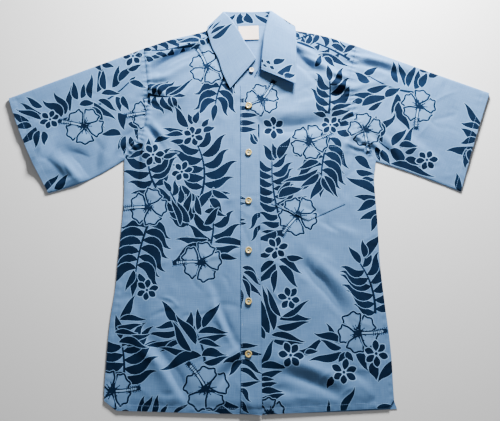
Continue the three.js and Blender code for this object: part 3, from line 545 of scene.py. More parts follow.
def column(row, centre, radius, chance):
    """The column that stands out of the flower: a thick double line, dotted toward its end."""
    turn = row["column_turn"]
    t = np.linspace(0, 1, 9)
    heading = np.radians(turn + 16 * (t - 0.5))
    length = radius * 1.42
    steps = np.stack([np.cos(heading), np.sin(heading)], axis=1)[:-1] * length / 8
    line = centre + np.concatenate([[[0, 0]], np.cumsum(steps, axis=0)])
    shapes = [
        (ribbon(line, np.linspace(3.2, 4.2, 9)), INK),
        (ribbon(line[1:-1], np.linspace(1.3, 2.2, 7)), LIGHT),
    ]
    side = side_vectors(line)
    for share in np.linspace(0.52, 1.0, 8):
        at = np.array([np.interp(share, t, line[:, k]) for k in range(2)])
        aside = np.array([np.interp(share, t, side[:, k]) for k in range(2)])
        for sign in (-1, 1):
            for off in (1.2, 5.2):
                jog = np.array([chance.uniform(-0.5, 0.5), chance.uniform(-0.5, 0.5)])
                shapes.append((disc(*(at + aside * sign * off + jog), 1.15, 6), INK))
    return shapes


BLOSSOM_PETALS = 6


def blossom(row, chance):
    """A small dark blossom: rounded petals round a dot, each with an unprinted rim."""
    centre = np.array([row["x"], row["y"]], float)
    shapes = []
    for i in range(BLOSSOM_PETALS):
        turn = row["turn"] + 360 * i / BLOSSOM_PETALS + chance.uniform(-8, 8)
        a = math.radians(turn)
        reach = row["radius"] * chance.uniform(0.9, 1.15)
        foot = centre + 0.2 * row["radius"] * np.array([math.cos(a), math.sin(a)])
        t = np.linspace(0, 1, 10)
        spine = foot + np.outer(t, [math.cos(a), math.sin(a)]) * (reach * 0.85)
        half = 0.29 * row["radius"] * np.sin(math.pi * t ** 1.15) ** 0.7 + 0.1
        outline = ribbon(spine, half)
        shapes += [(grown(outline, 1.5), LIGHT), (outline, INK)]
    return shapes + [(disc(*centre, 0.13 * row["radius"], 8), INK)]


def printed(name, places):
    """All shapes of a piece's print, from the lowest to the topmost."""
    chance = random.Random(name)
    shapes = []
    for row in places["fronds"]:
        shapes += frond(row, chance)
    for row in places["leaves"]:
        shapes += single_leaf(row)
    for row in places["flowers"]:
        shapes += flower(row, chance)
    for row in places["blossoms"]:
        shapes += blossom(row, chance)
    return shapes


def moved(places, mirror=1, dx=0.0, dy=0.0):
    """A print's places mirrored in x and shifted, for a hidden side."""
    result = {}
    for kind, rows in places.items():
        result[kind] = []
        for row in rows:
            new = dict(row)
            for key, value in row.items():
                if key in ("x", "x0", "x1"):
                    new[key] = value * mirror + dx
                elif key in ("y", "y0", "y1"):
                    new[key] = value + dy
                elif key in ("turn", "column_turn") and mirror < 0:
                    new[key] = 180 - value
                elif key in ("bow", "bend") and mirror < 0:
                    new[key] = -value
            result[kind].append(new)
    return result


def joined(*all_places):
    """Several prints' places as one."""
    return {kind: [row for places in all_places for row in places[kind]] for kind in BARE}


# Reading the CAD part

def cad_faces(node, up):
    """A CAD node's points on the drawing, and its triangles that look up (1) or down (-1),
    parted into the stretches that hang together."""
    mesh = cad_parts[node].data
    mesh.calc_loop_triangles()
    points = np.empty(len(mesh.vertices) * 3)
    mesh.vertices.foreach_get("co", points)
    points = points.reshape(-1, 3) * 1000 - [0, DRAWING_SHIFT_Y, 0]
    corners = np.empty(len(mesh.loop_triangles) * 3, np.int32)
    mesh.loop_triangles.foreach_get("vertices", corners)
    merged, ids = np.unique(points.round(3), axis=0, return_inverse=True)
    triangles = ids.reshape(-1)[corners].reshape(-1, 3)
    a, b, c = (merged[triangles[:, i]] for i in range(3))
    normal = np.cross(b - a, c - a)
    tilt = normal[:, 2] / np.maximum(np.linalg.norm(normal, axis=1), 1e-12)
    triangles = triangles[tilt * up > 0.05]
    if up < 0:
        triangles = triangles[:, ::-1]
    label = np.arange(len(merged))
    while True:
        lowest = label[triangles].min(axis=1)
        new = label.copy()
        for i in range(3):
            np.minimum.at(new, triangles[:, i], lowest)
        if (new == label).all():
            break
        label = new
    stretches = []
    for value in np.unique(label[triangles]):
        chosen = triangles[label[triangles[:, 0]] == value]
        stretches.append((merged, chosen))
    return stretches


def mean_height(stretch):
    """A stretch's height above the table on average."""
    points, triangles = stretch
    return points[triangles.ravel(), 2].mean()


def outline_of(stretch):
    """The outer edge of a stretch of triangles, counter-clockwise from above."""
    points, triangles = stretch
    edges = {tuple(e) for t in triangles for e in ((t[0], t[1]), (t[1], t[2]), (t[2], t[0]))}
    after = {a: b for a, b in edges if (b, a) not in edges}
    loops = []
    while after:
        start = next(iter(after))
        loop = [start]
        while loop[-1] in after:
            loop.append(after.pop(loop[-1]))
        loops.append(loop[:-1] if loop[-1] == start else loop)
    longest = max(loops, key=len)
    return points[longest, :2]


CORNER_TURN = 24.0  # degrees
OUTLINE_STEP = 3.0


def smooth_outline(loop, step=OUTLINE_STEP):
    """A closed outline again with even steps, a smooth curve between its sharp corners."""
    ahead = np.roll(loop, -1, axis=0) - loop
    keep = np.linalg.norm(ahead, axis=1) > 0.05
    loop = loop[keep]
    ahead = np.roll(loop, -1, axis=0) - loop
    heading = np.degrees(np.arctan2(ahead[:, 1], ahead[:, 0]))
    turn = (heading - np.roll(heading, 1) + 180) % 360 - 180
    corners = np.flatnonzero(abs(turn) > CORNER_TURN)
    loop = np.roll(loop, -corners[0], axis=0)
    corners = (corners - corners[0]).tolist() + [len(loop)]
    loop = np.concatenate([loop, loop[:1]])
    pieces = []
    for start, end in zip(corners[:-1], corners[1:]):
        pieces.append(spaced(curve_through(loop[start:end + 1]), step)[:-1])
    return np.concatenate(pieces)


def curve_through(knots, per_span=8):
    """A Catmull-Rom curve through points of any dimension."""
    knots = np.asarray(knots, float)
    if len(knots) < 3:
        return knots
    padded = np.concatenate([2 * knots[:1] - knots[1:2], knots, 2 * knots[-1:] - knots[-2:-1]])
    t = np.linspace(0, 1, per_span, endpoint=False)[:, None]
    spans = []
    for a, b, c, d in zip(padded, padded[1:], padded[2:], padded[3:]):
        spans.append(0.5 * (2 * b + (c - a) * t + (2 * a - 5 * b + 4 * c - d) * t ** 2
                            + (3 * b - a - 3 * c + d) * t ** 3))
    return np.concatenate([*spans, knots[-1:]])


def stretch_between(outline, start, end):
    """The part of a closed outline from the point nearest to start to that nearest to end."""
    first = int(np.argmin(np.hypot(*(outline - start).T)))
    last = int(np.argmin(np.hypot(*(outline - end).T)))
    if last < first:
        last += len(outline)
    return outline[np.arange(first, last + 1) % len(outline)]


def distance_to(line, x, y):
    """Distance from points to a line, and how far along the line the nearest point is."""
    best = np.full(x.shape, 1e9)
    along = np.zeros(x.shape)
    start = 0.0
    for a, b in zip(line[:-1], line[1:]):
        d = b - a
        length = float(np.hypot(*d))
        t = np.clip(((x - a[0]) * d[0] + (y - a[1]) * d[1]) / max(length ** 2, 1e-12), 0, 1)
        away = np.hypot(x - a[0] - t * d[0], y - a[1] - t * d[1])
        nearer = away < best
        best = np.where(nearer, away, best)
        along = np.where(nearer, start + t * length, along)
        start += length
    return best, along


# The plan that heights are kept over, in steps, and how far the CAD part's facets are blurred
PLAN_LOW = np.array([-500.0, -430.0])
PLAN_HIGH = np.array([500.0, 420.0])
TOPS_STEP = 5.0
TOPS_BLUR = 11.0
RELIEF_STEP = 1.6


class Raster:
    """A height over the plan, kept at even steps and read back as a smooth surface."""

    def __init__(self, step, height=None):
        self.step = step
        self.shape = tuple(int(v) + 1 for v in (PLAN_HIGH - PLAN_LOW) / step)
        if height is not None:
            i, j = np.indices(self.shape)
            self.values = height(PLAN_LOW[0] + i * step, PLAN_LOW[1] + j * step)

    def __call__(self, x, y):
        u = np.clip((x - PLAN_LOW[0]) / self.step, 1.001, self.shape[0] - 3.001)
        v = np.clip((y - PLAN_LOW[1]) / self.step, 1.001, self.shape[1] - 3.001)
        i, j = u.astype(int), v.astype(int)
        total = np.zeros(np.shape(u))
        for di, wi in enumerate(spline_weights(u - i)):
            for dj, wj in enumerate(spline_weights(v - j)):
                total += wi * wj * self.values[i + di - 1, j + dj - 1]
        return total


def tops_raster(stretches, lower=None):
    """The smoothed tops of CAD pieces, carried on past their edges."""
    raster = Raster(TOPS_STEP)
    height = np.zeros(raster.shape)
    weight = np.zeros(raster.shape)
    for points, triangles in stretches:
        for corners in points[triangles]:
            add_triangle(corners, height, weight, lower)
    height /= np.maximum(weight, 1)
    weight = np.minimum(weight, 1)
    far = blurred(height * weight, 60) / np.maximum(blurred(weight, 60), 1e-9)
    near = blurred(weight, TOPS_BLUR)
    raster.values = (blurred(height * weight, TOPS_BLUR) + 1e-4 * far) / (near + 1e-4)
    return raster


def add_triangle(corners, height, weight, lower):
    """Adds one triangle's heights where the steps fall inside it."""
    first = np.ceil((corners[:, :2].min(0) - PLAN_LOW) / TOPS_STEP).astype(int)
    last = np.floor((corners[:, :2].max(0) - PLAN_LOW) / TOPS_STEP).astype(int)
    if (last < first).any():
        return
    i, j = np.meshgrid(*(np.arange(a, b + 1) for a, b in zip(first, last)), indexing="ij")
    x = PLAN_LOW[0] + i * TOPS_STEP
    y = PLAN_LOW[1] + j * TOPS_STEP
    (ax, ay, az), (bx, by, bz), (cx, cy, cz) = corners
    area = (bx - ax) * (cy - ay) - (cx - ax) * (by - ay)
    if abs(area) < 1e-9:
        return
    v = ((x - ax) * (cy - ay) - (cx - ax) * (y - ay)) / area
    w = ((bx - ax) * (y - ay) - (x - ax) * (by - ay)) / area
    inside = (v >= -1e-6) & (w >= -1e-6) & (v + w <= 1 + 1e-6)
    z = az + v * (bz - az) + w * (cz - az)
    if lower is not None:
        z = z - lower(x, y)
    height[i[inside], j[inside]] += z[inside]
    weight[i[inside], j[inside]] += 1


def blurred(values, sigma):
    """Values at even steps, blurred by a distance."""
    reach = int(3 * sigma / TOPS_STEP)
    kernel = np.exp(-0.5 * (np.arange(-reach, reach + 1) * TOPS_STEP / sigma) ** 2)
    kernel /= kernel.sum()
    for axis in (0, 1):
        values = np.apply_along_axis(np.convolve, axis, values, kernel, "same")
    return values


def spline_weights(t):
    """The four weights of a cubic B-spline."""
    return (
        (1 - t) ** 3 / 6,
        (3 * t ** 3 - 6 * t ** 2 + 4) / 6,
        (-3 * t ** 3 + 3 * t ** 2 + 3 * t + 1) / 6,
        t ** 3 / 6,
    )


# Heights of the layers

def seam_x(y):
    """Where the placket's seam to the right front runs."""
    s = PLACKET_SEAM
    share = (y - s["hem_y"]) / (s["top_y"] - s["hem_y"])
    return s["hem_x"] + (s["top_x"] - s["hem_x"]) * share


def seam_rise(x, y):
    """How much higher the right front lies beside the placket."""
    return LAYER * (1 - smooth((x - seam_x(y)) / SEAM_RISE_REACH))


def collar_lift(x, y):
    """How much the back yoke is lifted by the collar's fall under it."""
    s = COLLAR_LIFT
    beside = 1 - smooth((abs(x) - s["from_x"]) / (s["to_x"] - s["from_x"]))
    return LAYER * beside * smooth((y - s["from_y"]) / (s["to_y"] - s["from_y"]))


def upper_stretches(node):
    """The upper outer sides of a folded piece."""
    return [s for s in cad_faces(node, 1) if mean_height(s) > 1.8 * CAD_CLOTH]


CUT = {
    "front_left": cad_faces("front_left", 1)[0],
    "front_right": cad_faces("front_right", 1)[0],
    "placket": cad_faces("placket", 1)[0],
    "pocket": cad_faces("pocket", 1)[0],
    "back": cad_faces("back", 1)[0],
    "label": cad_faces("label", 1)[0],
    "sleeve_left": max(cad_faces("sleeve_left", 1), key=mean_height),
    "sleeve_right": max(cad_faces("sleeve_right", 1), key=mean_height),
    "yoke_lower": min(cad_faces("yoke", -1), key=mean_height),
}
for stretch in upper_stretches("yoke"):
    middle_x = stretch[0][stretch[1].ravel(), 0].mean()
    CUT["yoke_left" if middle_x < 0 else "yoke_right"] = stretch
OUTLINE = {name: smooth_outline(outline_of(stretch)) for name, stretch in CUT.items()}

UPPER = tops_raster([CUT[name] for name in (
    "front_left", "sleeve_left", "sleeve_right", "yoke_left", "yoke_right")])
RIGHT = tops_raster([CUT["front_right"]], lower=seam_rise)


def base_height(x, y):
    """The upper layer's height from the CAD part, the same on both sides of every seam."""
    right = smooth((x - 10) / 20) * smooth((330 - y) / 24) * smooth((236 - x) / 16)
    return UPPER(x, y) * (1 - right) + RIGHT(x, y) * right


RIDGE_HEIGHT = 3.3
TROUGH_DEPTH = 2.5


def crease_height(x, y):
    """The ridges and troughs of the table, each with soft ends and one side steeper."""
    total = np.zeros(np.shape(x))
    for c in CREASES:
        turn = math.radians(c["turn"])
        along = (x - c["x"]) * math.cos(turn) + (y - c["y"]) * math.sin(turn)
        across = (y - c["y"]) * math.cos(turn) - (x - c["x"]) * math.sin(turn)
        end = 2 * along / (1.15 * c["length"])
        across = across - c["bow"] * (1 - np.minimum(end ** 2, 1))
        steep = np.where(across * c["height"] > 0, 0.75, 1.25)
        fade = np.exp(-np.minimum(1.25 * end ** 2, 40))
        strength = RIDGE_HEIGHT if c["height"] > 0 else TROUGH_DEPTH
        total += strength * c["height"] * fade * np.exp(-(across / (c["width"] * steep)) ** 2)
    return total


CRINKLE_SIZES = ("length", "width", "height")
CRINKLES = {"count": 380, "length": (24, 70), "width": (3, 7.5), "height": (0.3, 0.95), "seed": 7}


def crinkle_height(x, y):
    """Many small soft wrinkles that lie every way, as washed cotton keeps them."""
    chance = random.Random(CRINKLES["seed"])
    total = np.zeros(np.shape(x))
    for _ in range(CRINKLES["count"]):
        at_x, at_y = chance.uniform(-460, 460), chance.uniform(-390, 350)
        turn = chance.uniform(0, math.pi)
        length, width, height = (chance.uniform(*CRINKLES[k]) for k in CRINKLE_SIZES)
        height *= chance.choice([-1, 1])
        bow = chance.uniform(-5, 5)
        near = (abs(x - at_x) < length) & (abs(y - at_y) < length)
        dx, dy = x[near] - at_x, y[near] - at_y
        along = dx * math.cos(turn) + dy * math.sin(turn)
        end = 2 * along / length
        across = dy * math.cos(turn) - dx * math.sin(turn) - bow * (1 - end ** 2)
        total[near] += height * np.exp(-np.minimum(end ** 4 + (across / width) ** 2, 40))
    return total


def ripple_height(x, y):
    """Slow shallow waves."""
    total = np.zeros(np.shape(x))
    for r in RIPPLES:
        turn = math.radians(r["turn"])
        u = x * math.cos(turn) + y * math.sin(turn)
        v = y * math.cos(turn) - x * math.sin(turn)
        total += r["height"] * np.sin(
            2 * math.pi * u / r["wave"] + r["phase"] + 1.7 * np.sin(v / r["wave"] * 2.3)
        )
    return total


SEAM_SPANS = {}
for side, way in (("left", 1), ("right", -1)):
    sleeve = OUTLINE[f"sleeve_{side}"]
    ends = (UNDERARM[side], SHOULDER_END[side])[::way]
    SEAM_SPANS[f"armhole_{side}"] = stretch_between(sleeve, *ends)
FELL = 9.0  # width of the flat-felled strip beside each armhole
FELL_HEIGHT = 1.0
PUCKER_HEIGHT = 1.1
GROOVE_DEPTH = 0.9


def pucker_height(x, y):
    """Small puckers along the armhole seams, and the strip of doubled cloth beside them."""
    total = np.zeros(np.shape(x))
    for name, line in SEAM_SPANS.items():
        away, along = distance_to(line, x, y)
        outward = -1 if name.endswith("left") else 1
        nearest = np.interp(along, *along_of(line))
        inside = (x - nearest) * outward < 0
        strip = smooth((FELL + 0.8 - away) / 1.6) * inside
        wave = np.sin(along / 1.6 + 1.3 * np.sin(along / 9)) * (0.7 + 0.3 * np.sin(along / 17))
        total += FELL_HEIGHT * strip + PUCKER_HEIGHT * wave * np.exp(-((away - 3.5) / 6) ** 2)
        total -= GROOVE_DEPTH * np.exp(-(away / 1.6) ** 2)
    return total


def along_of(line):
    """How far along a line each of its points lies, and the points' x."""
    steps = np.hypot(*np.diff(line, axis=0).T)
    return np.concatenate([[0], np.cumsum(steps)]), line[:, 0]


def relief_height(x, y):
    """All of the upper layer's folds, creases, wrinkles and puckers."""
    return crease_height(x, y) + crinkle_height(x, y) + ripple_height(x, y) + pucker_height(x, y)


RELIEF = Raster(RELIEF_STEP, relief_height)


HEM_TURN = 11.0  # depth of the turned-up hem
HEM_REACH = 26.0  # the upper layer comes down to the lower one over this distance


def edge_down(line, x, y, z, low, reach=HEM_REACH):
    """The height of a layer that comes down to a lower one at a line."""
    away, along = distance_to(line, x, y)
    blend = smooth(away / reach)
    puff = 0.22 * np.sin(along / 3.1 + 2 * np.sin(along / 21)) * np.exp(-((away - 7) / 6) ** 2)
    band = 0.35 * smooth((HEM_TURN - away) / 1.2) - 0.35 * np.exp(-((away - 9.6) / 0.8) ** 2)
    return low + (z - low) * blend + (puff + band) * smooth(away / 3)


def front_height(side):
    """The height of a front panel, which comes down at its hem and side seam."""
    start, end = CENTRE_HEM[side], UNDERARM[side]
    if side == "left":
        start, end = end, start
    sewn = stretch_between(OUTLINE[f"front_{side}"], start, end)

    def height(x, y):
        z = base_height(x, y) + RELIEF(x, y)
        if side == "right":
            z = z + seam_rise(x, y)
        return np.maximum(edge_down(sewn, x, y, z, CAD_CLOTH + LAYER), CAD_CLOTH + 1.1)
    return height


FRONT = {side: Raster(RELIEF_STEP, front_height(side)) for side in ("left", "right")}


POCKET_LIFT = 0.95  # a single layer that lies flat on the front


def placket_height(x, y):
    """The placket lies on the left front, and at its hem end on the seam beside it."""
    z = FRONT["left"](np.minimum(x, seam_x(y) - 4), y)
    low = base_height(x, y) + RELIEF(x, y)
    hem = smooth((y - PLACKET_SEAM["hem_y"]) / HEM_REACH)
    return z * (1 - hem) + low * hem + LAYER


def pocket_height(x, y):
    """The pocket follows the right front."""
    return FRONT["right"](x, y) + POCKET_LIFT


def folded(height_over, height_under, folds, radius, upper):
    """One side of a piece that is folded at some lines: there both sides meet halfway."""
    def height(x, y):
        over, under = height_over(x, y), height_under(x, y)
        middle = (over + under) / 2
        away = np.min([distance_to(line, x, y)[0] for line in folds], axis=0)
        away = np.clip((away - ON_LINE) / radius, 0, 1)
        swell = np.sqrt(1 - (1 - away) ** 2)
        return middle + ((over if upper else under) - middle) * swell
    return height


# Making the cloth pieces

GRID_STEP = 3.0
EDGE_ROWS = (0.35, 0.9, 1.8)  # rows of points just inside a cut edge


def inset_rows(outline, depths):
    """Points inside an outline at some depths from its edge."""
    return np.concatenate([grown(outline, -depth) for depth in depths])


def triangulated(outline, shapes, step=GRID_STEP, rows=EDGE_ROWS):
    """Points, triangles and print tones of a flat piece, cut along every edge of the print."""
    low, high = outline.min(0) - 2, outline.max(0) + 2
    shapes = [s for s in shapes if (s[0].max(0) > low).all() and (s[0].min(0) < high).all()]
    loops = [outline] + [shape for shape, _ in shapes]
    edges = []
    count = 0
    for loop in loops:
        ids = range(count, count + len(loop))
        edges += zip(ids, [*ids[1:], count])
        count += len(loop)
    tree = KDTree(count)
    for i, (x, y) in enumerate(np.concatenate(loops)):
        tree.insert((x, y, 0), i)
    tree.balance()
    columns = np.arange(low[0], high[0], step)
    lines = np.arange(low[1], high[1], step * 0.87)
    x, y = np.meshgrid(columns, lines)
    x = x + (np.arange(len(lines)) % 2)[:, None] * step / 2
    grid = np.stack([x.ravel(), y.ravel()], axis=1)
    near = [tree.find((px, py, 0))[2] < 0.42 * step for px, py in grid]
    points = np.concatenate([*loops, inset_rows(outline, rows), grid[~np.array(near)]])
    flat = [Vector(p) for p in points]
    found, _, cells, _, _, _ = delaunay_2d_cdt(flat, edges, [], 0, 0.01, False)
    found = np.array([p[:] for p in found])
    triangles = np.array(cells)
    centres = found[triangles].mean(axis=1)
    cut = painted(centres, [(outline, INK)]) == INK
    used, ids = np.unique(triangles[cut], return_inverse=True)
    return found[used], ids.reshape(-1, 3), painted(centres[cut], shapes)


def painted(places, shapes):
    """The tone at each place: that of the last shape that covers it."""
    tones = np.full(len(places), BASE)
    order = np.argsort(places[:, 0])
    ordered = places[order]
    for shape, tone in shapes:
        first, last = np.searchsorted(ordered[:, 0], [shape[:, 0].min(), shape[:, 0].max()])
        column = ordered[first:last, 1]
        near = first + np.flatnonzero((column > shape[:, 1].min()) & (column < shape[:, 1].max()))
        x, y = ordered[near].T
        turns = np.zeros(len(near), int)
        for (ax, ay), (bx, by) in zip(shape, np.roll(shape, -1, axis=0)):
            side = (bx - ax) * (y - ay) - (x - ax) * (by - ay)
            turns += ((ay <= y) & (by > y) & (side > 0)).astype(int)
            turns -= ((ay > y) & (by <= y) & (side < 0)).astype(int)
        tones[order[near[turns != 0]]] = tone
    return tones


class Sheet:
    """One side of a cloth piece: outer points, outward normals, triangles and tones."""

    def __init__(self, points, normals, triangles, tones, grain, seam=None):
        self.points = points
        self.normals = normals / np.linalg.norm(normals, axis=1)[:, None]
        self.triangles = triangles
        self.tones = tones
        self.grain = grain
        self.seam = np.zeros(len(points), bool) if seam is None else seam


SLOPE_STEP = 0.12
ON_LINE = 0.02  # a point this near to a fold lies on it
SHAPE_CLEARANCE = 4


def refined(outline, sheets):
    """A closed outline with the points that other sheets have on it taken in."""
    closed = np.concatenate([outline, outline[:1]])
    steps = along_of(closed)[0]
    points = np.concatenate([sheet.points[sheet.seam, :2] for sheet in sheets])
    away, along = distance_to(closed, *points.T)
    new = (away < ON_LINE) & (abs(along[:, None] - steps).min(1) > ON_LINE)
    order = np.argsort(np.concatenate([steps[:-1], along[new]]))
    return np.concatenate([outline, points[new]])[order]


def clear_of(shapes, lines):
    """The shapes that don't reach any of the lines."""
    return [(shape, tone) for shape, tone in shapes
            if all(distance_to(line, *shape.T)[0].min() > SHAPE_CLEARANCE for line in lines)]


def laid_sheet(outline, shapes, height, up=1, step=GRID_STEP, folds=(), grain_turn=0.0):
    """A sheet over the plan, its height given by a function."""
    flat, triangles, tones = triangulated(outline, shapes, step)
    x, y = flat.T
    z = height(x, y)
    slope_x = (height(x + SLOPE_STEP, y) - height(x - SLOPE_STEP, y)) / (2 * SLOPE_STEP)
    slope_y = (height(x, y + SLOPE_STEP) - height(x, y - SLOPE_STEP)) / (2 * SLOPE_STEP)
    normals = up * np.stack([-slope_x, -slope_y, np.ones(len(x))], axis=1)
    seam = np.zeros(len(x), bool)
    for line in folds:
        away, along = distance_to(line, x, y)
        on = away < ON_LINE
        side = side_vectors(line)
        steps = along_of(line)[0]
        for k in range(2):
            normals[on, k] = -np.interp(along[on], steps, side[:, k])
        normals[on, 2] = 0
        seam |= on
    if up < 0:
        triangles = triangles[:, ::-1]
    turn = math.radians(grain_turn)
    grain = np.stack([x * math.cos(turn) + y * math.sin(turn),
                      y * math.cos(turn) - x * math.sin(turn)], axis=1)
    return Sheet(np.stack([x, y, z], axis=1), normals, triangles, tones, grain, seam)


def cloth_piece(name, sheets, thickness, material, inside=INSIDE_SHARE):
    """A closed thin shell from one or more sheets, with the print as a face attribute."""
    points, faces, tones, loops, grains = [], [], [], [], []
    for sheet in sheets:
        start = sum(len(p) for p in points)
        count = len(sheet.points)
        inner = sheet.points - sheet.normals * thickness
        points += [sheet.points, inner]
        grains += [sheet.grain, sheet.grain]
        outer_faces = sheet.triangles + start
        inner_faces = sheet.triangles[:, ::-1] + start + count
        edges = np.concatenate([sheet.triangles[:, [0, 1]], sheet.triangles[:, [1, 2]],
                                sheet.triangles[:, [2, 0]]])
        key = edges.min(1) * count + edges.max(1)
        _, first, uses = np.unique(key, return_index=True, return_counts=True)
        rim = edges[first[uses == 1]]
        rim = rim[~(sheet.seam[rim[:, 0]] & sheet.seam[rim[:, 1]])]
        a, b = rim[:, 0] + start, rim[:, 1] + start
        rim_faces = np.stack([a, a + count, b + count, b], axis=1)
        ahead = sheet.points[rim[:, 1]] - sheet.points[rim[:, 0]]
        out = np.cross(ahead, sheet.normals[rim[:, 0]])
        out /= np.maximum(np.linalg.norm(out, axis=1), 1e-9)[:, None]
        faces += outer_faces.tolist() + inner_faces.tolist() + rim_faces.tolist()
        loops += [sheet.normals[sheet.triangles.ravel()],
                  -sheet.normals[sheet.triangles[:, ::-1].ravel()], np.repeat(out, 4, axis=0)]
        tones += [sheet.tones, sheet.tones * inside, np.zeros(len(rim))]
    points = np.concatenate(points)
    seam = np.concatenate([np.tile(sheet.seam, 2) for sheet in sheets])
    own = np.where(seam, 0, np.arange(1, len(seam) + 1))
    key = np.column_stack([points.round(2) * seam[:, None], own])
    first, same = np.unique(key, axis=0, return_index=True, return_inverse=True)[1:]
    coordinates = (points[first] + [0, DRAWING_SHIFT_Y, 0]) / 1000
    same = same.reshape(-1).tolist()
    mesh = bpy.data.meshes.new(name)
    mesh.from_pydata(coordinates.tolist(), [], [[same[i] for i in face] for face in faces])
    attribute = mesh.attributes.new("print_tone", "FLOAT", "FACE")
    attribute.data.foreach_set("value", np.concatenate(tones).astype(np.float32))
    uv = mesh.uv_layers.new(name="grain")
    corner_ids = np.concatenate([np.asarray(face) for face in faces])
    grain = np.concatenate(grains)[corner_ids] / 1000
    uv.data.foreach_set("uv", grain.astype(np.float32).ravel())
    mesh.shade_smooth()
    mesh.normals_split_custom_set(np.concatenate(loops).tolist())
    mesh.materials.append(material)
    return placed(mesh, name)


def placed(mesh, name):
    """The mesh as an object of the scene, at the origin."""
    piece = bpy.data.objects.new(name, mesh)
    bpy.context.scene.collection.objects.link(piece)
    return piece


def dressed(piece, slot, *nodes):
    """The piece rides on the shirt's only body and stands for its CAD nodes."""
    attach(piece, "root")
    if nodes:
        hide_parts(*nodes)


# Materials

def linear(colour):
    """An sRGB hex colour as linear red, green, blue and alpha."""
    channels = [int(colour[i:i + 2], 16) / 255 for i in (1, 3, 5)]
    return (*[c / 12.92 if c <= 0.04045 else ((c + 0.055) / 1.055) ** 2.4 for c in channels], 1.0)


def node(tree, kind, settings=None, **inputs):
    """Adds a node with its settings; an input is a value or another node's output."""
    made = tree.nodes.new(kind)
    for name, value in (settings or {}).items():
        setattr(made, name, value)
    for name, value in inputs.items():
        numbered = name[1:].isdigit()
        socket = made.inputs[int(name[1:]) if numbered else name.replace("_", " ")]
        if isinstance(value, bpy.types.NodeSocket):
            tree.links.new(value, socket)
        else:
            socket.default_value = value
    return made


def new_material(name, **surface):
    """A material with its surface values set on the shader's own sockets."""
    material = bpy.data.materials.new(name)
    material.use_nodes = True
    tree = material.node_tree
    shader = tree.nodes["Principled BSDF"]
    for key, value in surface.items():
        shader.inputs[key.replace("_", " ")].default_value = value
    return material, tree, shader


def chambray_cotton(settings):
    """Printed cotton chambray, woven plain from a blue warp and a white weft. The eye sees a
    matt, slightly uneven steel blue with fine slubs along both threads, and a dark print that
    sinks into the cloth and takes its weave."""
    material, tree, shader = new_material(
        "chambray_cotton_screen_printed", Roughness=0.85, IOR=1.5, Sheen_Weight=0.03,
        Sheen_Roughness=0.4, Specular_IOR_Level=0.05,
    )
    uv = node(tree, "ShaderNodeUVMap", {"uv_map": "grain"}).outputs[0]
    tone = node(tree, "ShaderNodeAttribute", {"attribute_name": "print_tone"}).outputs["Fac"]
    thread = settings.thread_mm / 1000
    # Slubs are about two threads thick and twenty times as long
    slubs = []
    for stretch in ((1, 0.05), (0.05, 1)):
        mapped = node(tree, "ShaderNodeMapping", _1=(0, 0, 0), _0=uv)
        mapped.inputs["Scale"].default_value = (*stretch, 1)
        slubs.append(node(tree, "ShaderNodeTexNoise", _0=mapped.outputs[0],
                          Scale=1 / (2.2 * thread), Detail=3.0, Roughness=0.6).outputs[0])
    both = node(tree, "ShaderNodeMath", {"operation": "ADD"}, _0=slubs[0], _1=slubs[1]).outputs[0]
    # The ink is thinner in patches some 70 mm across
    fade = node(tree, "ShaderNodeTexNoise", _0=uv, Scale=14.0, Detail=3.0).outputs[0]
    base = node(tree, "ShaderNodeValToRGB", _0=node(
        tree, "ShaderNodeMath", {"operation": "MULTIPLY_ADD"}, _0=both, _1=0.8, _2=-0.3
    ).outputs[0])
    base.color_ramp.elements[0].color = linear(settings.cloth_dark)
    base.color_ramp.elements[1].color = linear(settings.cloth_light)
    ink = node(tree, "ShaderNodeMix", {"data_type": "RGBA"}, Factor=fade)
    ink.inputs["A"].default_value = linear(settings.ink_dark)
    ink.inputs["B"].default_value = linear(settings.ink_light)
    paler = node(tree, "ShaderNodeMath", {"operation": "MULTIPLY", "use_clamp": True},
                 _0=tone, _1=-1.0)
    rim = node(tree, "ShaderNodeMix", {"data_type": "RGBA"}, Factor=paler.outputs[0])
    tree.links.new(base.outputs[0], rim.inputs["A"])
    rim.inputs["B"].default_value = linear(settings.halo)
    printed_on = node(tree, "ShaderNodeMath", {"operation": "MULTIPLY", "use_clamp": True},
                      _0=tone, _1=1.0)
    colour = node(tree, "ShaderNodeMix", {"data_type": "RGBA"}, Factor=printed_on.outputs[0])
    tree.links.new(rim.outputs["Result"], colour.inputs["A"])
    tree.links.new(ink.outputs["Result"], colour.inputs["B"])
    tree.links.new(colour.outputs["Result"], shader.inputs["Base Color"])
    # A wave texture repeats every 0.31 m at scale 1, so each wave is one drawn thread
    waves = []
    for direction in ("X", "Y"):
        waves.append(node(tree, "ShaderNodeTexWave", {"bands_direction": direction}, _0=uv,
                          Scale=1 / (thread * 3.2), Distortion=0.6, Detail=1.0).outputs["Fac"])
    weave = node(tree, "ShaderNodeMath", {"operation": "ADD"}, _0=waves[0], _1=waves[1]).outputs[0]
    lumps = node(tree, "ShaderNodeMath", {"operation": "MULTIPLY_ADD"}, _0=both, _1=1.5, _2=weave)
    bump = node(tree, "ShaderNodeBump", Strength=0.28, Distance=0.0003, Height=lumps.outputs[0])
    tree.links.new(bump.outputs[0], shader.inputs["Normal"])
    return material


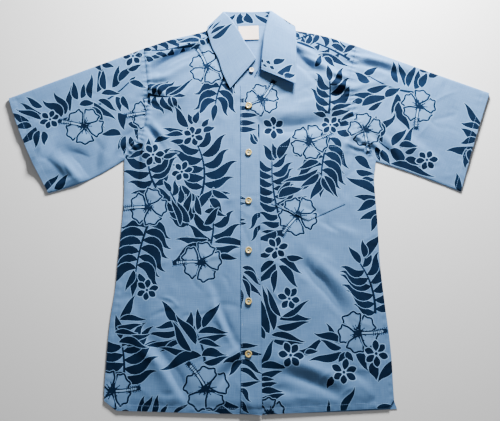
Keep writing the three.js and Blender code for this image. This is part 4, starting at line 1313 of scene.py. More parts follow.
def woven_ribbon(settings):
    """Woven satin ribbon for the label: cream, smoother than the shirt, with ribs 0.45 mm apart that
    give it a soft cross-wise sheen. The ribs are painted lighter and the grooves darker, as painted
    light and shade that follow the ribs' bump."""
    material, tree, shader = new_material(
        "satin_woven_ribbon", Roughness=0.5, IOR=1.5, Sheen_Weight=0.3, Specular_IOR_Level=0.4,
    )
    place = node(tree, "ShaderNodeTexCoord").outputs["Object"]
    ribs = node(tree, "ShaderNodeTexWave", {"bands_direction": "Y"}, _0=place, Scale=700.0,
                Distortion=0.4).outputs["Fac"]
    # The ribs' wave also tints the colour: painted highlight on the ribs, painted shade in the
    # grooves
    tint = node(tree, "ShaderNodeMix", {"data_type": "RGBA"}, Factor=ribs)
    tint.inputs["A"].default_value = linear(settings.label_groove_shade_tone)
    tint.inputs["B"].default_value = linear(settings.label_rib_lit_tone)
    tree.links.new(tint.outputs["Result"], shader.inputs["Base Color"])
    bump = node(tree, "ShaderNodeBump", Strength=0.4, Distance=0.0002, Height=ribs)
    tree.links.new(bump.outputs[0], shader.inputs["Normal"])
    return material


def pale_resin(settings):
    """The collar button's resin: the same, but almost white."""
    return cast_resin(settings, settings.pale_light, settings.pale_dark)


def cast_resin(settings, light=None, dark=None):
    """Cast and polished polyester resin, as in most shirt buttons. The eye sees a glossy cream
    to straw with soft clouds about 4 mm across and a little depth."""
    material, tree, shader = new_material(
        "polyester_resin_cast", Roughness=0.22, IOR=1.56, Coat_Weight=0.3,
        Subsurface_Weight=0.12, Subsurface_Scale=0.001,
    )
    place = node(tree, "ShaderNodeTexCoord").outputs["Object"]
    cloud = node(tree, "ShaderNodeTexNoise", _0=place, Scale=260.0, Detail=4.0, Distortion=1.4)
    ramp = node(tree, "ShaderNodeValToRGB", _0=cloud.outputs[0])
    ramp.color_ramp.elements[0].position = 0.32
    ramp.color_ramp.elements[0].color = linear(dark or settings.button_dark)
    ramp.color_ramp.elements[1].position = 0.66
    ramp.color_ramp.elements[1].color = linear(light or settings.button_light)
    tree.links.new(ramp.outputs[0], shader.inputs["Base Color"])
    return material


def sewing_thread(settings):
    """Spun sewing thread: matt and slightly hairy, twisted every half millimetre."""
    material, tree, shader = new_material(
        "spun_sewing_thread", Roughness=0.75, IOR=1.5, Sheen_Weight=0.3,
    )
    place = node(tree, "ShaderNodeTexCoord").outputs["Object"]
    twist = node(tree, "ShaderNodeTexNoise", _0=place, Scale=1800.0, Detail=1.0).outputs[0]
    tint = node(tree, "ShaderNodeMix", {"data_type": "RGBA"}, Factor=twist)
    tint.inputs["A"].default_value = linear(settings.cloth_dark)
    tint.inputs["B"].default_value = linear(settings.halo)
    tree.links.new(tint.outputs["Result"], shader.inputs["Base Color"])
    return material


SHARED = {}


def shared(name, maker):
    """The material of that name, made the first time it is asked for."""
    if name not in SHARED:
        SHARED[name] = maker(bpy.context.scene.shirt_cloth)
    return SHARED[name]


def cotton():
    """The shirt's one cloth."""
    return shared("cotton", chambray_cotton)


# Collar surfaces

def neck_seam():
    """The line along which the collar is sewn in, from the left front round to the right."""
    lower = OUTLINE["yoke_lower"]
    left = np.concatenate([
        stretch_between(OUTLINE["front_left"], NECK_FRONT["left"], YOKE_FRONT["left"]),
        stretch_between(OUTLINE["yoke_left"], YOKE_FRONT["left"], NECK_END["left"])[1:],
    ])
    behind = stretch_between(lower, NECK_END["right"], NECK_END["left"])[::-1]
    right = np.concatenate([
        stretch_between(OUTLINE["front_right"], YOKE_FRONT["right"], NECK_FRONT["right"])[::-1],
        stretch_between(OUTLINE["yoke_right"], NECK_END["right"], YOKE_FRONT["right"])[::-1][1:],
    ])[::-1]
    corner = np.minimum(np.hypot(*(behind - NECK_END["left"]).T),
                        np.hypot(*(behind - NECK_END["right"]).T))
    low = CAD_CLOTH / 2 + collar_lift(*behind.T) + CORNER_RAISE * (1 - smooth(corner / CORNER_REACH))
    upper = [UPPER(*side.T) - CAD_CLOTH / 2 + extra for side, extra in
             ((left, 0), (right, seam_rise(*right.T)))]
    line = np.concatenate([
        np.column_stack([left, upper[0]]), np.column_stack([behind, low])[1:-1],
        np.column_stack([right, upper[1]]),
    ])
    steps = np.linalg.norm(np.diff(line, axis=0), axis=1)
    return line[np.concatenate([[True], steps > 0.05])]


def unit(vectors):
    """Vectors again at length 1."""
    return vectors / np.maximum(np.linalg.norm(vectors, axis=1), 1e-9)[:, None]


def collar_stations(first_row):
    """Lines and directions of the collar at even steps of its table, from a first row on."""
    names = list(COLLAR[0])
    knots = np.array([[row[name] for name in names] for row in COLLAR], float)
    fine = curve_through(knots, 24)
    at = np.linspace(first_row * 24, len(fine) - 1, COLLAR_STATIONS)
    values = {n: np.interp(at, np.arange(len(fine)), fine[:, i]) for i, n in enumerate(names)}
    top = np.stack([values["top_x"], values["top_y"], values["top_z"]], axis=1)
    edge = np.stack([values["edge_x"], values["edge_y"], values["edge_z"]], axis=1)
    seam = neck_seam()
    steps = np.linalg.norm(np.diff(seam, axis=0), axis=1)
    along = np.concatenate([[0], np.cumsum(steps)])
    place = values["at"] * along[-1]
    sewn = np.stack([np.interp(place, along, seam[:, k]) for k in range(3)], axis=1)
    turn = np.radians(values["turn"])[:, None]
    away = sewn.copy()
    away[:, :2] -= NECK_MIDDLE
    away[:, 2] = 0
    fall = unit(away) * np.cos(turn) + np.array([0, 0, 1.0]) * np.sin(turn)
    ahead = unit(np.gradient(sewn, axis=0))
    aside = unit(np.cross(ahead, [0, 0, 1.0]))
    aside *= np.sign(np.sum(aside * (top - sewn), axis=1))[:, None]
    bottom = sewn + aside * (ROLL_GAP + 0.6 * CAD_CLOTH * np.cos(turn))
    rise = unit(top - bottom)
    over = unit(fall - rise * np.sum(fall * rise, axis=1)[:, None])
    return {"bottom": bottom, "top": top, "edge": edge, "rise": rise, "over": over}


def grid_normals(grid):
    """The outward normal at each point of a grid."""
    u = np.gradient(grid, axis=0)
    v = np.gradient(grid, axis=1)
    normal = np.cross(u, v)
    return normal / np.maximum(np.linalg.norm(normal, axis=2), 1e-9)[..., None]


STAND_ROWS = 13
FALL_ROWS = 30
ROLL_ROWS = 9


def stand_grid():
    """The stand's inner surface, from the neck seam to its top edge."""
    s = collar_stations(0)
    share = np.linspace(0, 1, STAND_ROWS)[None, :, None]
    return s["bottom"][:, None] * (1 - share) + s["top"][:, None] * share


def leaf_grid():
    """The leaf's middle surface, from the stand's top edge over the roll to its outer edge."""
    s = collar_stations(LEAF_FIRST_STATION)
    start = s["top"] + s["rise"] * ROLL_GAP
    centre = start + s["over"] * ROLL_RADIUS
    rows = []
    for angle in np.linspace(0, math.pi, ROLL_ROWS):
        spoke = -s["over"] * math.cos(angle) + s["rise"] * math.sin(angle)
        rows.append(centre + spoke * ROLL_RADIUS)
    turned = rows[-1]
    for t in np.linspace(0, 1, FALL_ROWS + 1)[1:]:
        rows.append(turned * (1 - t) + s["edge"] * t)
    grid = np.stack(rows, axis=1)
    wave = collar_wave(grid)
    grid[..., 2] = np.maximum(grid[..., 2] + wave, CAD_CLOTH / 2)
    return grid


def collar_wave(grid):
    """Slow waves of the leaf, fading out toward the roll."""
    share = np.linspace(-0.3, 1, grid.shape[1])[None, :]
    along = np.linspace(0, 1, grid.shape[0])[:, None]
    behind = smooth((along - 0.34) / 0.06) * smooth((0.68 - along) / 0.06)
    swing = 0.7 * np.sin(along * 31) + 0.5 * np.sin(along * 57 + 1)
    swing = swing + 0.4 * np.sin(along * 13 + share * 4)
    return smooth(share) * swing * (1 - behind)


def mapped_sheet(grid, lengths, shapes, step=2.6):
    """A sheet over a grid of points: its plan is lengths[0] by lengths[1] millimetres."""
    width, height = lengths
    corners = np.array([[0, 0], [width, 0], [width, height], [0, height]], float)
    ends = np.roll(corners, -1, axis=0)
    sides = [spaced(np.array([a, b]), step)[:-1] for a, b in zip(corners, ends)]
    flat, triangles, tones = triangulated(np.concatenate(sides), shapes, step, (0.5, 1.2))
    u = np.clip(flat[:, 0] / width, 0, 1) * (grid.shape[0] - 1)
    v = np.clip(flat[:, 1] / height, 0, 1) * (grid.shape[1] - 1)
    return Sheet(picked(grid, u, v), picked(grid_normals(grid), u, v), triangles, tones, flat)


def picked(grid, u, v):
    """Values between a grid's points."""
    i = np.minimum(u.astype(int), grid.shape[0] - 2)
    j = np.minimum(v.astype(int), grid.shape[1] - 2)
    a, b = (u - i)[:, None], (v - j)[:, None]
    return ((grid[i, j] * (1 - a) + grid[i + 1, j] * a) * (1 - b)
            + (grid[i, j + 1] * (1 - a) + grid[i + 1, j + 1] * a) * b)


# Stitches

STITCH = {"length": 2.6, "gap": 1.1, "width": 0.55, "height": 0.28}


def stitch_rows(name, paths, material, slot):
    """Rows of stitches along paths of points with normals, joined in one mesh."""
    bar = stitch_bar()
    corners, faces = [], []
    for points, normals in paths:
        steps = np.linalg.norm(np.diff(points, axis=0), axis=1)
        along = np.concatenate([[0], np.cumsum(steps)])
        pitch = STITCH["length"] + STITCH["gap"]
        for start in np.arange(pitch / 2, along[-1] - STITCH["length"], pitch):
            ends = [np.array([np.interp(start + d, along, points[:, k]) for k in range(3)])
                    for d in (0, STITCH["length"])]
            up = unit(np.array([[np.interp(start, along, normals[:, k]) for k in range(3)]]))[0]
            ahead = ends[1] - ends[0]
            side = np.cross(up, ahead / np.linalg.norm(ahead))
            base = len(corners)
            middle = (ends[0] + ends[1]) / 2
            for u, v, w in bar[0]:
                corners.append(middle + ahead * u + side * v * STITCH["width"]
                               + up * w * STITCH["height"])
            faces += [[base + i for i in face] for face in bar[1]]
    mesh = bpy.data.meshes.new(name)
    coordinates = (np.array(corners) + [0, DRAWING_SHIFT_Y, 0]) / 1000
    mesh.from_pydata(coordinates.tolist(), [], faces)
    mesh.shade_smooth()
    mesh.materials.append(material)
    dressed(placed(mesh, name), slot)


def stitch_bar():
    """One stitch of length 1, width 1 and height 1: a bar with thin ends, by bmesh."""
    form = bmesh.new()
    bmesh.ops.create_cube(form, size=1.0)
    for vertex in form.verts:
        vertex.co.z = 0.9 if vertex.co.z > 0 else -0.3
    ends = [e for e in form.edges if abs(e.verts[0].co.x - e.verts[1].co.x) > 0.5]
    bmesh.ops.subdivide_edges(form, edges=ends, cuts=1)
    for vertex in form.verts:
        if abs(vertex.co.x) > 0.3:
            vertex.co.y *= 0.45
            vertex.co.z = min(vertex.co.z, 0.15)
    form.verts.index_update()
    points = [tuple(v.co) for v in form.verts]
    faces = [[v.index for v in f.verts] for f in form.faces]
    form.free()
    return points, faces


def path_on(line, height, lift=0.1):
    """A plan line laid on a height, with its normals."""
    x, y = spaced(line, 2.0).T
    z = height(x, y) + lift
    step = 0.5
    normals = np.stack([
        -(height(x + step, y) - height(x - step, y)) / (2 * step),
        -(height(x, y + step) - height(x, y - step)) / (2 * step), np.ones(len(x)),
    ], axis=1)
    return np.stack([x, y, z], axis=1), unit(normals)


def inside_line(line, depth):
    """A line moved to its left, which is inside a counter-clockwise outline."""
    return line + side_vectors(line) * depth


# Settings

def colour_setting(name, what, default):
    return bpy.props.StringProperty(
        name=name, description=f"{what}, as an sRGB hex value", default=default, maxlen=7)


class ShirtCloth(bpy.types.PropertyGroup):
    """Cloth, print and trim of the shirt"""

    cloth_thickness: bpy.props.FloatProperty(
        name="Cloth thickness", description="Thickness of one layer of cloth",
        default=0.0007, min=0.0002, max=0.003, unit="LENGTH")
    thread_mm: bpy.props.FloatProperty(
        name="Thread spacing", default=0.6, min=0.2, max=2.0,
        description="Spacing of the drawn threads in mm, coarser than the real 0.3 so that it shows")
    cloth_light: colour_setting("Cloth, light", "Lighter threads", "#7299c6")
    cloth_dark: colour_setting("Cloth, dark", "Darker threads", "#4b72a2")
    halo: colour_setting("Unprinted rim", "Rim round the print", "#86afdc")
    ink_light: colour_setting("Print, light", "Thin stretches of the print", "#0c2745")
    ink_dark: colour_setting("Print, dark", "Full stretches of the print", "#051224")
    # The label's two tones are painted light on its ribs and painted shade in its grooves
    label_rib_lit_tone: colour_setting("Label, light", "Ribs of the label", "#f6e6da")
    label_groove_shade_tone: colour_setting("Label, dark", "Grooves of the label", "#dcc4b4")
    button_light: colour_setting("Button, light", "Light clouds in the buttons", "#ecd994")
    button_dark: colour_setting("Button, dark", "Dark clouds in the buttons", "#a98b42")
    pale_light: colour_setting("Collar button, light", "Its light clouds", "#f3f1ea")
    pale_dark: colour_setting("Collar button, dark", "Its dark clouds", "#cdc8ba")
    # Two tones of painted shade for the inside of the buttons' drilled holes
    hole_painted_shade_light: colour_setting("Button hole, light", "Lit side of a drilled hole", "#5a4b30")
    hole_painted_shade_dark: colour_setting("Button hole, dark", "Deep side of a drilled hole", "#3a3020")


class ShirtStage(bpy.types.PropertyGroup):
    """Floor, lights and camera"""

    tilt: bpy.props.FloatProperty(
        name="Camera tilt", description="Tilt of the camera from straight down",
        default=math.radians(12), subtype="ANGLE")
    distance: bpy.props.FloatProperty(
        name="Camera distance", description="From the camera to the shirt's middle",
        default=1.32, unit="LENGTH")
    floor: colour_setting("Floor", "The pale floor", "#f4f4f4")
    key_power: bpy.props.FloatProperty(
        name="Key light", description="Low light from beyond the collar", default=52, unit="POWER")
    fill_power: bpy.props.FloatProperty(
        name="Fill light", description="Wide light from above", default=1.0, unit="POWER")
    ambient: bpy.props.FloatProperty(
        name="Ambient", description="Strength of the light from all round", default=0.18, min=0.0)


def thickness():
    """Thickness of one layer of cloth in millimetres."""
    return bpy.context.scene.shirt_cloth.cloth_thickness * 1000


# Operators

def table_height(x, _):
    """The table that the undersides lie on."""
    return np.zeros(np.shape(x))


class SHIRT_OT_back(bpy.types.Operator):
    """Builds the back panel, which lies on the table under the fronts"""

    bl_idname = "shirt.back"
    bl_label = "Back"

    def execute(self, context):
        places = moved(joined(PRINT["front_left"], PRINT["front_right"]), -1, 0, 24)
        sheet = laid_sheet(OUTLINE["back"], printed("back", places), table_height, step=6.0)
        piece = cloth_piece("back_panel", [underside(sheet)], thickness(), cotton())
        dressed(piece, "print_cloth", "back")
        return {"FINISHED"}


def underside(sheet):
    """The same sheet with its printed side down on the table."""
    points = sheet.points.copy()
    points[:, 2] = 0
    normals = np.tile([0.0, 0.0, -1.0], (len(points), 1))
    return Sheet(points, normals, sheet.triangles[:, ::-1], sheet.tones, sheet.grain)


class SHIRT_OT_yoke(bpy.types.Operator):
    """Builds the yoke: flat behind the neck and folded over both shoulders to the front"""

    bl_idname = "shirt.yoke"
    bl_label = "Yoke"

    def execute(self, context):
        lower = OUTLINE["yoke_lower"]
        folds = [
            stretch_between(lower, SHOULDER_END["right"], NECK_END["right"]),
            stretch_between(lower, NECK_END["left"], SHOULDER_END["left"]),
        ]

        def over(x, y):
            return base_height(x, y) + RELIEF(x, y)
        sheets = []
        for side, line in (("right", folds[0]), ("left", folds[1])):
            name = f"yoke_{side}"
            outline = np.concatenate([stretch_between(OUTLINE[name], line[-1], line[0])[1:-1], line])
            height = folded(over, collar_lift, [line], 4.5, True)
            turn = 15 if side == "left" else -15
            sheets.append(laid_sheet(outline, printed(name, PRINT[name]), height, folds=[line],
                                     grain_turn=turn))
        places = moved(joined(PRINT["yoke_left"], PRINT["yoke_right"]), -1, 0, -14)
        sheets.append(laid_sheet(
            refined(lower, sheets), clear_of(printed("yoke_under", places), folds),
            folded(over, collar_lift, folds, 2.0, False), -1, 4.0, folds))
        piece = cloth_piece("yoke_panel", sheets, thickness(), cotton())
        dressed(piece, "print_cloth", "yoke")
        return {"FINISHED"}


class SHIRT_OT_fronts(bpy.types.Operator):
    """Builds both front panels"""

    bl_idname = "shirt.fronts"
    bl_label = "Fronts"

    def execute(self, context):
        for side in ("left", "right"):
            name = f"front_{side}"
            sheet = laid_sheet(OUTLINE[name], printed(name, PRINT[name]), FRONT[side])
            piece = cloth_piece(f"{name}_panel", [sheet], thickness(), cotton())
            dressed(piece, "print_cloth", name)
        return {"FINISHED"}


class SHIRT_OT_placket(bpy.types.Operator):
    """Builds the placket band that closes over the buttoned front"""

    bl_idname = "shirt.placket"
    bl_label = "Placket"

    def execute(self, context):
        sheet = laid_sheet(OUTLINE["placket"], printed("placket", PRINT["placket"]), placket_height,
                           step=2.6)
        piece = cloth_piece("placket_band", [sheet], thickness(), cotton())
        dressed(piece, "print_cloth", "placket")
        return {"FINISHED"}


class SHIRT_OT_pocket(bpy.types.Operator):
    """Builds the patch pocket, its print matched to the front under it"""

    bl_idname = "shirt.pocket"
    bl_label = "Pocket"

    def execute(self, context):
        sheet = laid_sheet(OUTLINE["pocket"], printed("front_right", PRINT["front_right"]),
                           pocket_height)
        piece = cloth_piece("pocket_patch", [sheet], thickness(), cotton())
        dressed(piece, "print_cloth", "pocket")
        return {"FINISHED"}


def sleeve_heights(side):
    """A sleeve's fold lines, its cuff and the height of its upper side."""
    outline = OUTLINE[f"sleeve_{side}"]
    cuff_top, cuff_bottom = CUFF_TOP[side], CUFF_BOTTOM[side]
    if side == "left":
        folds = [stretch_between(outline, SHOULDER_END[side], cuff_top),
                 stretch_between(outline, cuff_bottom, UNDERARM[side])]
        cuff = stretch_between(outline, cuff_top, cuff_bottom)
    else:
        folds = [stretch_between(outline, UNDERARM[side], cuff_bottom),
                 stretch_between(outline, cuff_top, SHOULDER_END[side])]
        cuff = stretch_between(outline, cuff_bottom, cuff_top)

    def over(x, y):
        away = np.min([distance_to(line, x, y)[0] for line in folds], axis=0)
        settled = 0.35 + 0.65 * smooth(away / 22)
        from_cuff, along = distance_to(cuff, x, y)
        puff = 0.25 * np.sin(along / 2.6 + np.sin(along / 11))
        puff = puff * np.exp(-((from_cuff - 14) / 9) ** 2)
        band = 0.35 * smooth((12.5 - from_cuff) / 1.2)
        band = band - 0.4 * np.exp(-((from_cuff - 11) / 0.8) ** 2)
        z = base_height(x, y) + RELIEF(x, y) * settled + puff + band
        return np.maximum(z, CAD_CLOTH + 1.0)
    return folds, cuff, Raster(RELIEF_STEP, over)


SLEEVE = {side: sleeve_heights(side) for side in ("left", "right")}


class SHIRT_OT_sleeves(bpy.types.Operator):
    """Builds both sleeves, flattened tubes that are open at the cuff"""

    bl_idname = "shirt.sleeves"
    bl_label = "Sleeves"

    def execute(self, context):
        for side, other in (("left", "right"), ("right", "left")):
            folds, _, over = SLEEVE[side]
            name = f"sleeve_{side}"
            turn = 22 if side == "left" else -22
            hidden = moved(PRINT[f"sleeve_{other}"], -1)
            upper = laid_sheet(OUTLINE[name], printed(name, PRINT[name]),
                               folded(over, table_height, folds, 5.0, True), folds=folds,
                               grain_turn=turn)
            under = laid_sheet(
                refined(OUTLINE[name], [upper]), clear_of(printed(name + "_under", hidden), folds),
                folded(over, table_height, folds, 2.0, False), -1, 4.5, folds, turn)
            piece = cloth_piece(f"{name}_tube", [upper, under], thickness(), cotton())
            dressed(piece, "print_cloth", name)
        return {"FINISHED"}


LEAF_THICKNESS = 1.1  # two layers with an interlining between them


class SHIRT_OT_collar(bpy.types.Operator):
    """Builds the collar's stand and its leaf"""

    bl_idname = "shirt.collar"
    bl_label = "Collar"

    def execute(self, context):
        shapes = printed("collar_stand", PRINT["collar_stand"])
        sheet = mapped_sheet(stand_grid(), (430, 32), shapes)
        sheet.points += sheet.normals * thickness() / 2
        piece = cloth_piece("collar_stand_band", [sheet], thickness(), cotton(), 1.0)
        dressed(piece, "print_cloth", "collar_stand")
        shapes = printed("collar_leaf", PRINT["collar_leaf"])
        sheet = mapped_sheet(leaf_grid(), (470, 75), shapes)
        sheet.points += sheet.normals * LEAF_THICKNESS / 2
        piece = cloth_piece("collar_leaf_fall", [sheet], LEAF_THICKNESS, cotton(), 1.0)
        dressed(piece, "print_cloth", "collar_leaf")
        return {"FINISHED"}


class SHIRT_OT_label(bpy.types.Operator):
    """Builds the bare woven label at the back neck"""

    bl_idname = "shirt.label"
    bl_label = "Label"

    def execute(self, context):
        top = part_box("label")[1].z * 1000

        def height(x, y):
            return top - 0.5 + 0.25 * np.sin(x / 7) * np.sin(y / 9)
        sheet = laid_sheet(OUTLINE["label"], [], height, step=1.6)
        piece = cloth_piece("neck_label", [sheet], 0.4, shared("ribbon", woven_ribbon))
        dressed(piece, "label_cloth", "label")
        return {"FINISHED"}


# A button's outline from its middle: shares of its radius and of its height
BUTTON_PROFILE = [
    (0, 0), (0.78, 0), (0.95, 0.16), (1, 0.45), (0.96, 0.85), (0.86, 1), (0.74, 0.97),
    (0.64, 0.72), (0.5, 0.64), (0, 0.62),
]


def sewn_button(name, centre, radius, height, material, thread, normal):
    """A four-hole button with a raised rim and a crossed thread, turned to the cloth under it."""
    form = bmesh.new()
    points = [form.verts.new((r * radius, 0, z * height)) for r, z in BUTTON_PROFILE]
    edges = [form.edges.new(pair) for pair in zip(points, points[1:])]
    bmesh.ops.spin(form, geom=points + edges, cent=(0, 0, 0), axis=(0, 0, 1), angle=2 * math.pi,
                   steps=40, use_merge=True)
    bmesh.ops.remove_doubles(form, verts=form.verts, dist=1e-4)
    bmesh.ops.recalc_face_normals(form, faces=form.faces)
    for x, y in ((1, 1), (1, -1), (-1, 1), (-1, -1)):
        hole_x, hole_y = x * radius * 0.19, y * radius * 0.19
        ring = bmesh.ops.create_cone(
            form, cap_ends=True, segments=10, radius1=radius * 0.09, radius2=radius * 0.11,
            depth=0.06 * height, matrix=Matrix.Translation((hole_x, hole_y, 0.66 * height)))
        # The holes' inside faces take the painted-shade material
        for face in {f for v in ring["verts"] for f in v.link_faces}:
            face.material_index = 1
    for sign in (1, -1):
        spot = Matrix.Translation((0, 0, 0.78 * height)) @ Matrix.Rotation(sign * math.pi / 4, 4, "Z")
        bar = bmesh.ops.create_cone(
            form, cap_ends=True, segments=8, radius1=radius * 0.055, radius2=radius * 0.055,
            depth=radius * 0.56, matrix=spot @ Matrix.Rotation(math.pi / 2, 4, "Y"))
        for face in {f for v in bar["verts"] for f in v.link_faces}:
            face.material_index = 2
    up = Vector(normal).normalized()
    turn = Vector((0, 0, 1)).rotation_difference(up).to_matrix().to_4x4()
    place = Matrix.Translation(Vector(centre)) @ turn
    bmesh.ops.transform(form, matrix=place, verts=form.verts)
    bmesh.ops.translate(form, vec=(0, DRAWING_SHIFT_Y, 0), verts=form.verts)
    bmesh.ops.scale(form, vec=(0.001, 0.001, 0.001), verts=form.verts)
    mesh = bpy.data.meshes.new(name)
    form.to_mesh(mesh)
    form.free()
    mesh.shade_smooth()
    for item in (material, shared("hole", hole_shade), thread):
        mesh.materials.append(item)
    return placed(mesh, name)


def hole_shade(settings):
    """The inside of a button's drilled holes: the same resin, painted dark brown as painted shade
    deep in the holes, in two tones mixed by noise.
    """
    material, tree, shader = new_material("resin_hole_painted_shade", Roughness=0.6, IOR=1.56)
    place = node(tree, "ShaderNodeTexCoord").outputs["Object"]
    cloud = node(tree, "ShaderNodeTexNoise", _0=place, Scale=500.0).outputs[0]
    tint = node(tree, "ShaderNodeMix", {"data_type": "RGBA"}, Factor=cloud)
    tint.inputs["A"].default_value = linear(settings.hole_painted_shade_dark)
    tint.inputs["B"].default_value = linear(settings.hole_painted_shade_light)
    tree.links.new(tint.outputs["Result"], shader.inputs["Base Color"])
    return material


def slope_at(height, x, y, reach=4.0):
    """The upward direction of the cloth round a place."""
    xs, ys = np.array([x - reach, x + reach, x, x]), np.array([y, y, y - reach, y + reach])
    z = height(xs, ys)
    return (-(z[1] - z[0]) / (2 * reach), -(z[3] - z[2]) / (2 * reach), 1.0)


class SHIRT_OT_buttons(bpy.types.Operator):
    """Builds the six front buttons and the small one on the collar stand"""

    bl_idname = "shirt.buttons"
    bl_label = "Buttons"

    def execute(self, context):
        thread = shared("thread", sewing_thread)
        names = sorted(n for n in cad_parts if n.startswith("button_"))
        for name in names:
            resin = shared("resin", cast_resin)
            low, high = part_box(name)
            middle = (low + high) * 500
            x, y = middle.x, middle.y - DRAWING_SHIFT_Y
            radius = (high.x - low.x) * 500
            tall = (high.z - low.z) * 1000
            if name == "button_collar":
                base, normal = low.z * 1000, (0, 0, 1)
                resin = shared("pale_resin", pale_resin)
            else:
                base = float(placket_height(np.array([x]), np.array([y]))[0]) + 0.25
                normal = slope_at(placket_height, x, y)
            piece = sewn_button(f"shirt_{name}", (x, y, base), radius, tall, resin, thread, normal)
            dressed(piece, "button_resin", name)
        return {"FINISHED"}


# Rows of stitches: how far inside an edge, or from where to where
HEM_STITCH = 9.6
CUFF_STITCH = 11.0
ARMHOLE_STITCHES = (1.4, 8.2)
PLACKET_STITCHES = (
    [[-12.6, -386.0], [-14.8, 226.0]],
    [[17.6, -386.0], [14.6, 226.0]],
)
POCKET_CORNERS = [(42, 121), (42, -10), (112, -42), (182, -10), (182, 121)]
POCKET_STITCH_SHARE = np.array([0.972, 0.978])
POCKET_TOP_STITCH = [[46.0, 103.0], [178.0, 103.0]]
FRONT_BUTTONS = 6
BUTTONHOLE = {"half_width": 1.1, "half_length": 8.5}


class SHIRT_OT_stitching(bpy.types.Operator):
    """Sews the hems, cuffs, placket, pocket, armholes, buttonholes and the collar's edge"""

    bl_idname = "shirt.stitching"
    bl_label = "Stitching"

    def execute(self, context):
        thread = shared("thread", sewing_thread)
        paths = []
        for side in ("left", "right"):
            outline = OUTLINE[f"front_{side}"]
            ends = [HEM_CORNER[side], CENTRE_HEM[side]][:: 1 if side == "left" else -1]
            hem = stretch_between(outline, *ends)
            paths.append(path_on(inside_line(hem, HEM_STITCH), FRONT[side]))
            _, cuff, over = SLEEVE[side]
            paths.append(path_on(inside_line(cuff, CUFF_STITCH), over))
            for depth in ARMHOLE_STITCHES:
                seam = inside_line(SEAM_SPANS[f"armhole_{side}"], depth)
                paths.append(path_on(seam, FRONT[side]))
        paths += [path_on(np.array(line), placket_height) for line in PLACKET_STITCHES]
        corners = np.array(POCKET_CORNERS, float)
        edge = np.concatenate([spaced(np.array(pair), 3) for pair in zip(corners, corners[1:])])
        middle = OUTLINE["pocket"].mean(0)
        inner = middle + (edge - middle) * POCKET_STITCH_SHARE
        paths.append(path_on(inner, pocket_height))
        paths.append(path_on(np.array(POCKET_TOP_STITCH), pocket_height))
        for number in range(1, FRONT_BUTTONS + 1):
            low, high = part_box(f"button_{number}")
            x, y = (low.x + high.x) * 500, (low.y + high.y) * 500 - DRAWING_SHIFT_Y
            for aside in (-1, 1):
                x_row = x + aside * BUTTONHOLE["half_width"]
                ends = [[x_row, y + way * BUTTONHOLE["half_length"]] for way in (-1, 1)]
                paths.append(path_on(np.array(ends), placket_height))
        leaf = leaf_grid()
        normals = grid_normals(leaf)
        lifted = leaf + normals * (LEAF_THICKNESS / 2 + 0.15)
        paths.append((lifted[3:-3, -2], normals[3:-3, -2]))
        paths += [(lifted[k, 6:-2], normals[k, 6:-2]) for k in (2, -3)]
        stitch_rows("front_stitching", paths, thread, "print_cloth")
        return {"FINISHED"}


def area_light(name, place, target, size, power):
    """A round white lamp that looks at a target."""
    data = bpy.data.lights.new(name, "AREA")
    data.shape = "DISK"
    data.size = size
    data.energy = power
    light = bpy.data.objects.new(name, data)
    light.location = place
    light.rotation_euler = (Vector(target) - Vector(place)).to_track_quat("-Z", "Y").to_euler()
    bpy.context.scene.collection.objects.link(light)


PHOTO_CENTRE = (0.0016, -0.0181, 0.0)  # the point on the table that the photo is centred on


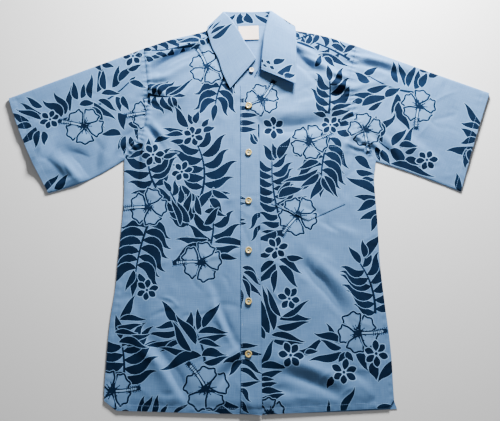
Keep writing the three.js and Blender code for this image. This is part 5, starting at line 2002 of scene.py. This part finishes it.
class SHIRT_OT_stage(bpy.types.Operator):
    """Builds the pale floor, the soft studio light and the camera at the photo's angle"""

    bl_idname = "shirt.stage"
    bl_label = "Stage"

    def execute(self, context):
        stage = context.scene.shirt_stage
        form = bmesh.new()
        bmesh.ops.create_grid(form, x_segments=2, y_segments=2, size=4.0)
        mesh = bpy.data.meshes.new("floor")
        form.to_mesh(mesh)
        form.free()
        floor = placed(mesh, "floor")
        floor.location.z = -0.0003
        # Matt backdrop paper, even and pale, which gives the eye nothing but soft shadows
        material, _, shader = new_material("paper_backdrop_matt", Roughness=0.9)
        shader.inputs["Base Color"].default_value = linear(stage.floor)
        mesh.materials.append(material)
        area_light("key", (0.22, 0.92, 0.40), (0, 0.05, 0), 0.26, stage.key_power)
        area_light("fill", (0.5, -0.6, 2.2), (0, 0, 0), 1.6, stage.fill_power)
        world = bpy.data.worlds.new("studio")
        world.use_nodes = True
        background = world.node_tree.nodes["Background"]
        background.inputs["Color"].default_value = linear("#ffffff")
        background.inputs["Strength"].default_value = stage.ambient
        context.scene.world = world
        target = Vector(PHOTO_CENTRE)
        camera_data = bpy.data.cameras.new("camera")
        camera_data.lens = 50
        camera_data.sensor_width = 36
        camera = bpy.data.objects.new("camera", camera_data)
        away = Vector((0, -math.sin(stage.tilt), math.cos(stage.tilt)))
        camera.location = target + away * stage.distance
        camera.rotation_euler = (-away).to_track_quat("-Z", "Y").to_euler()
        context.scene.collection.objects.link(camera)
        context.scene.camera = camera
        return {"FINISHED"}


class SHIRT_PT_sidebar(bpy.types.Panel):
    """Sizes, colours and pieces of the shirt"""

    bl_label = "Flower-print shirt"
    bl_idname = "SHIRT_PT_sidebar"
    bl_space_type = "VIEW_3D"
    bl_region_type = "UI"
    bl_category = "Shirt"

    def draw(self, context):
        for settings in (context.scene.shirt_cloth, context.scene.shirt_stage):
            for name in settings.__annotations__:
                self.layout.prop(settings, name)
        for operator in PIECES:
            self.layout.operator(operator.bl_idname)


PIECES = (
    SHIRT_OT_stage, SHIRT_OT_back, SHIRT_OT_yoke, SHIRT_OT_fronts, SHIRT_OT_placket,
    SHIRT_OT_pocket, SHIRT_OT_sleeves, SHIRT_OT_collar, SHIRT_OT_label, SHIRT_OT_buttons,
    SHIRT_OT_stitching,
)
CLASSES = (ShirtCloth, ShirtStage, *PIECES, SHIRT_PT_sidebar)


def register():
    for item in CLASSES:
        bpy.utils.register_class(item)
    bpy.types.Scene.shirt_cloth = bpy.props.PointerProperty(type=ShirtCloth)
    bpy.types.Scene.shirt_stage = bpy.props.PointerProperty(type=ShirtStage)


def unregister():
    del bpy.types.Scene.shirt_stage
    del bpy.types.Scene.shirt_cloth
    for item in reversed(CLASSES):
        bpy.utils.unregister_class(item)


def main():
    register()
    for operator in PIECES:
        group, name = operator.bl_idname.split(".")
        getattr(getattr(bpy.ops, group), name)()


if __name__ == "__main__":
    main()
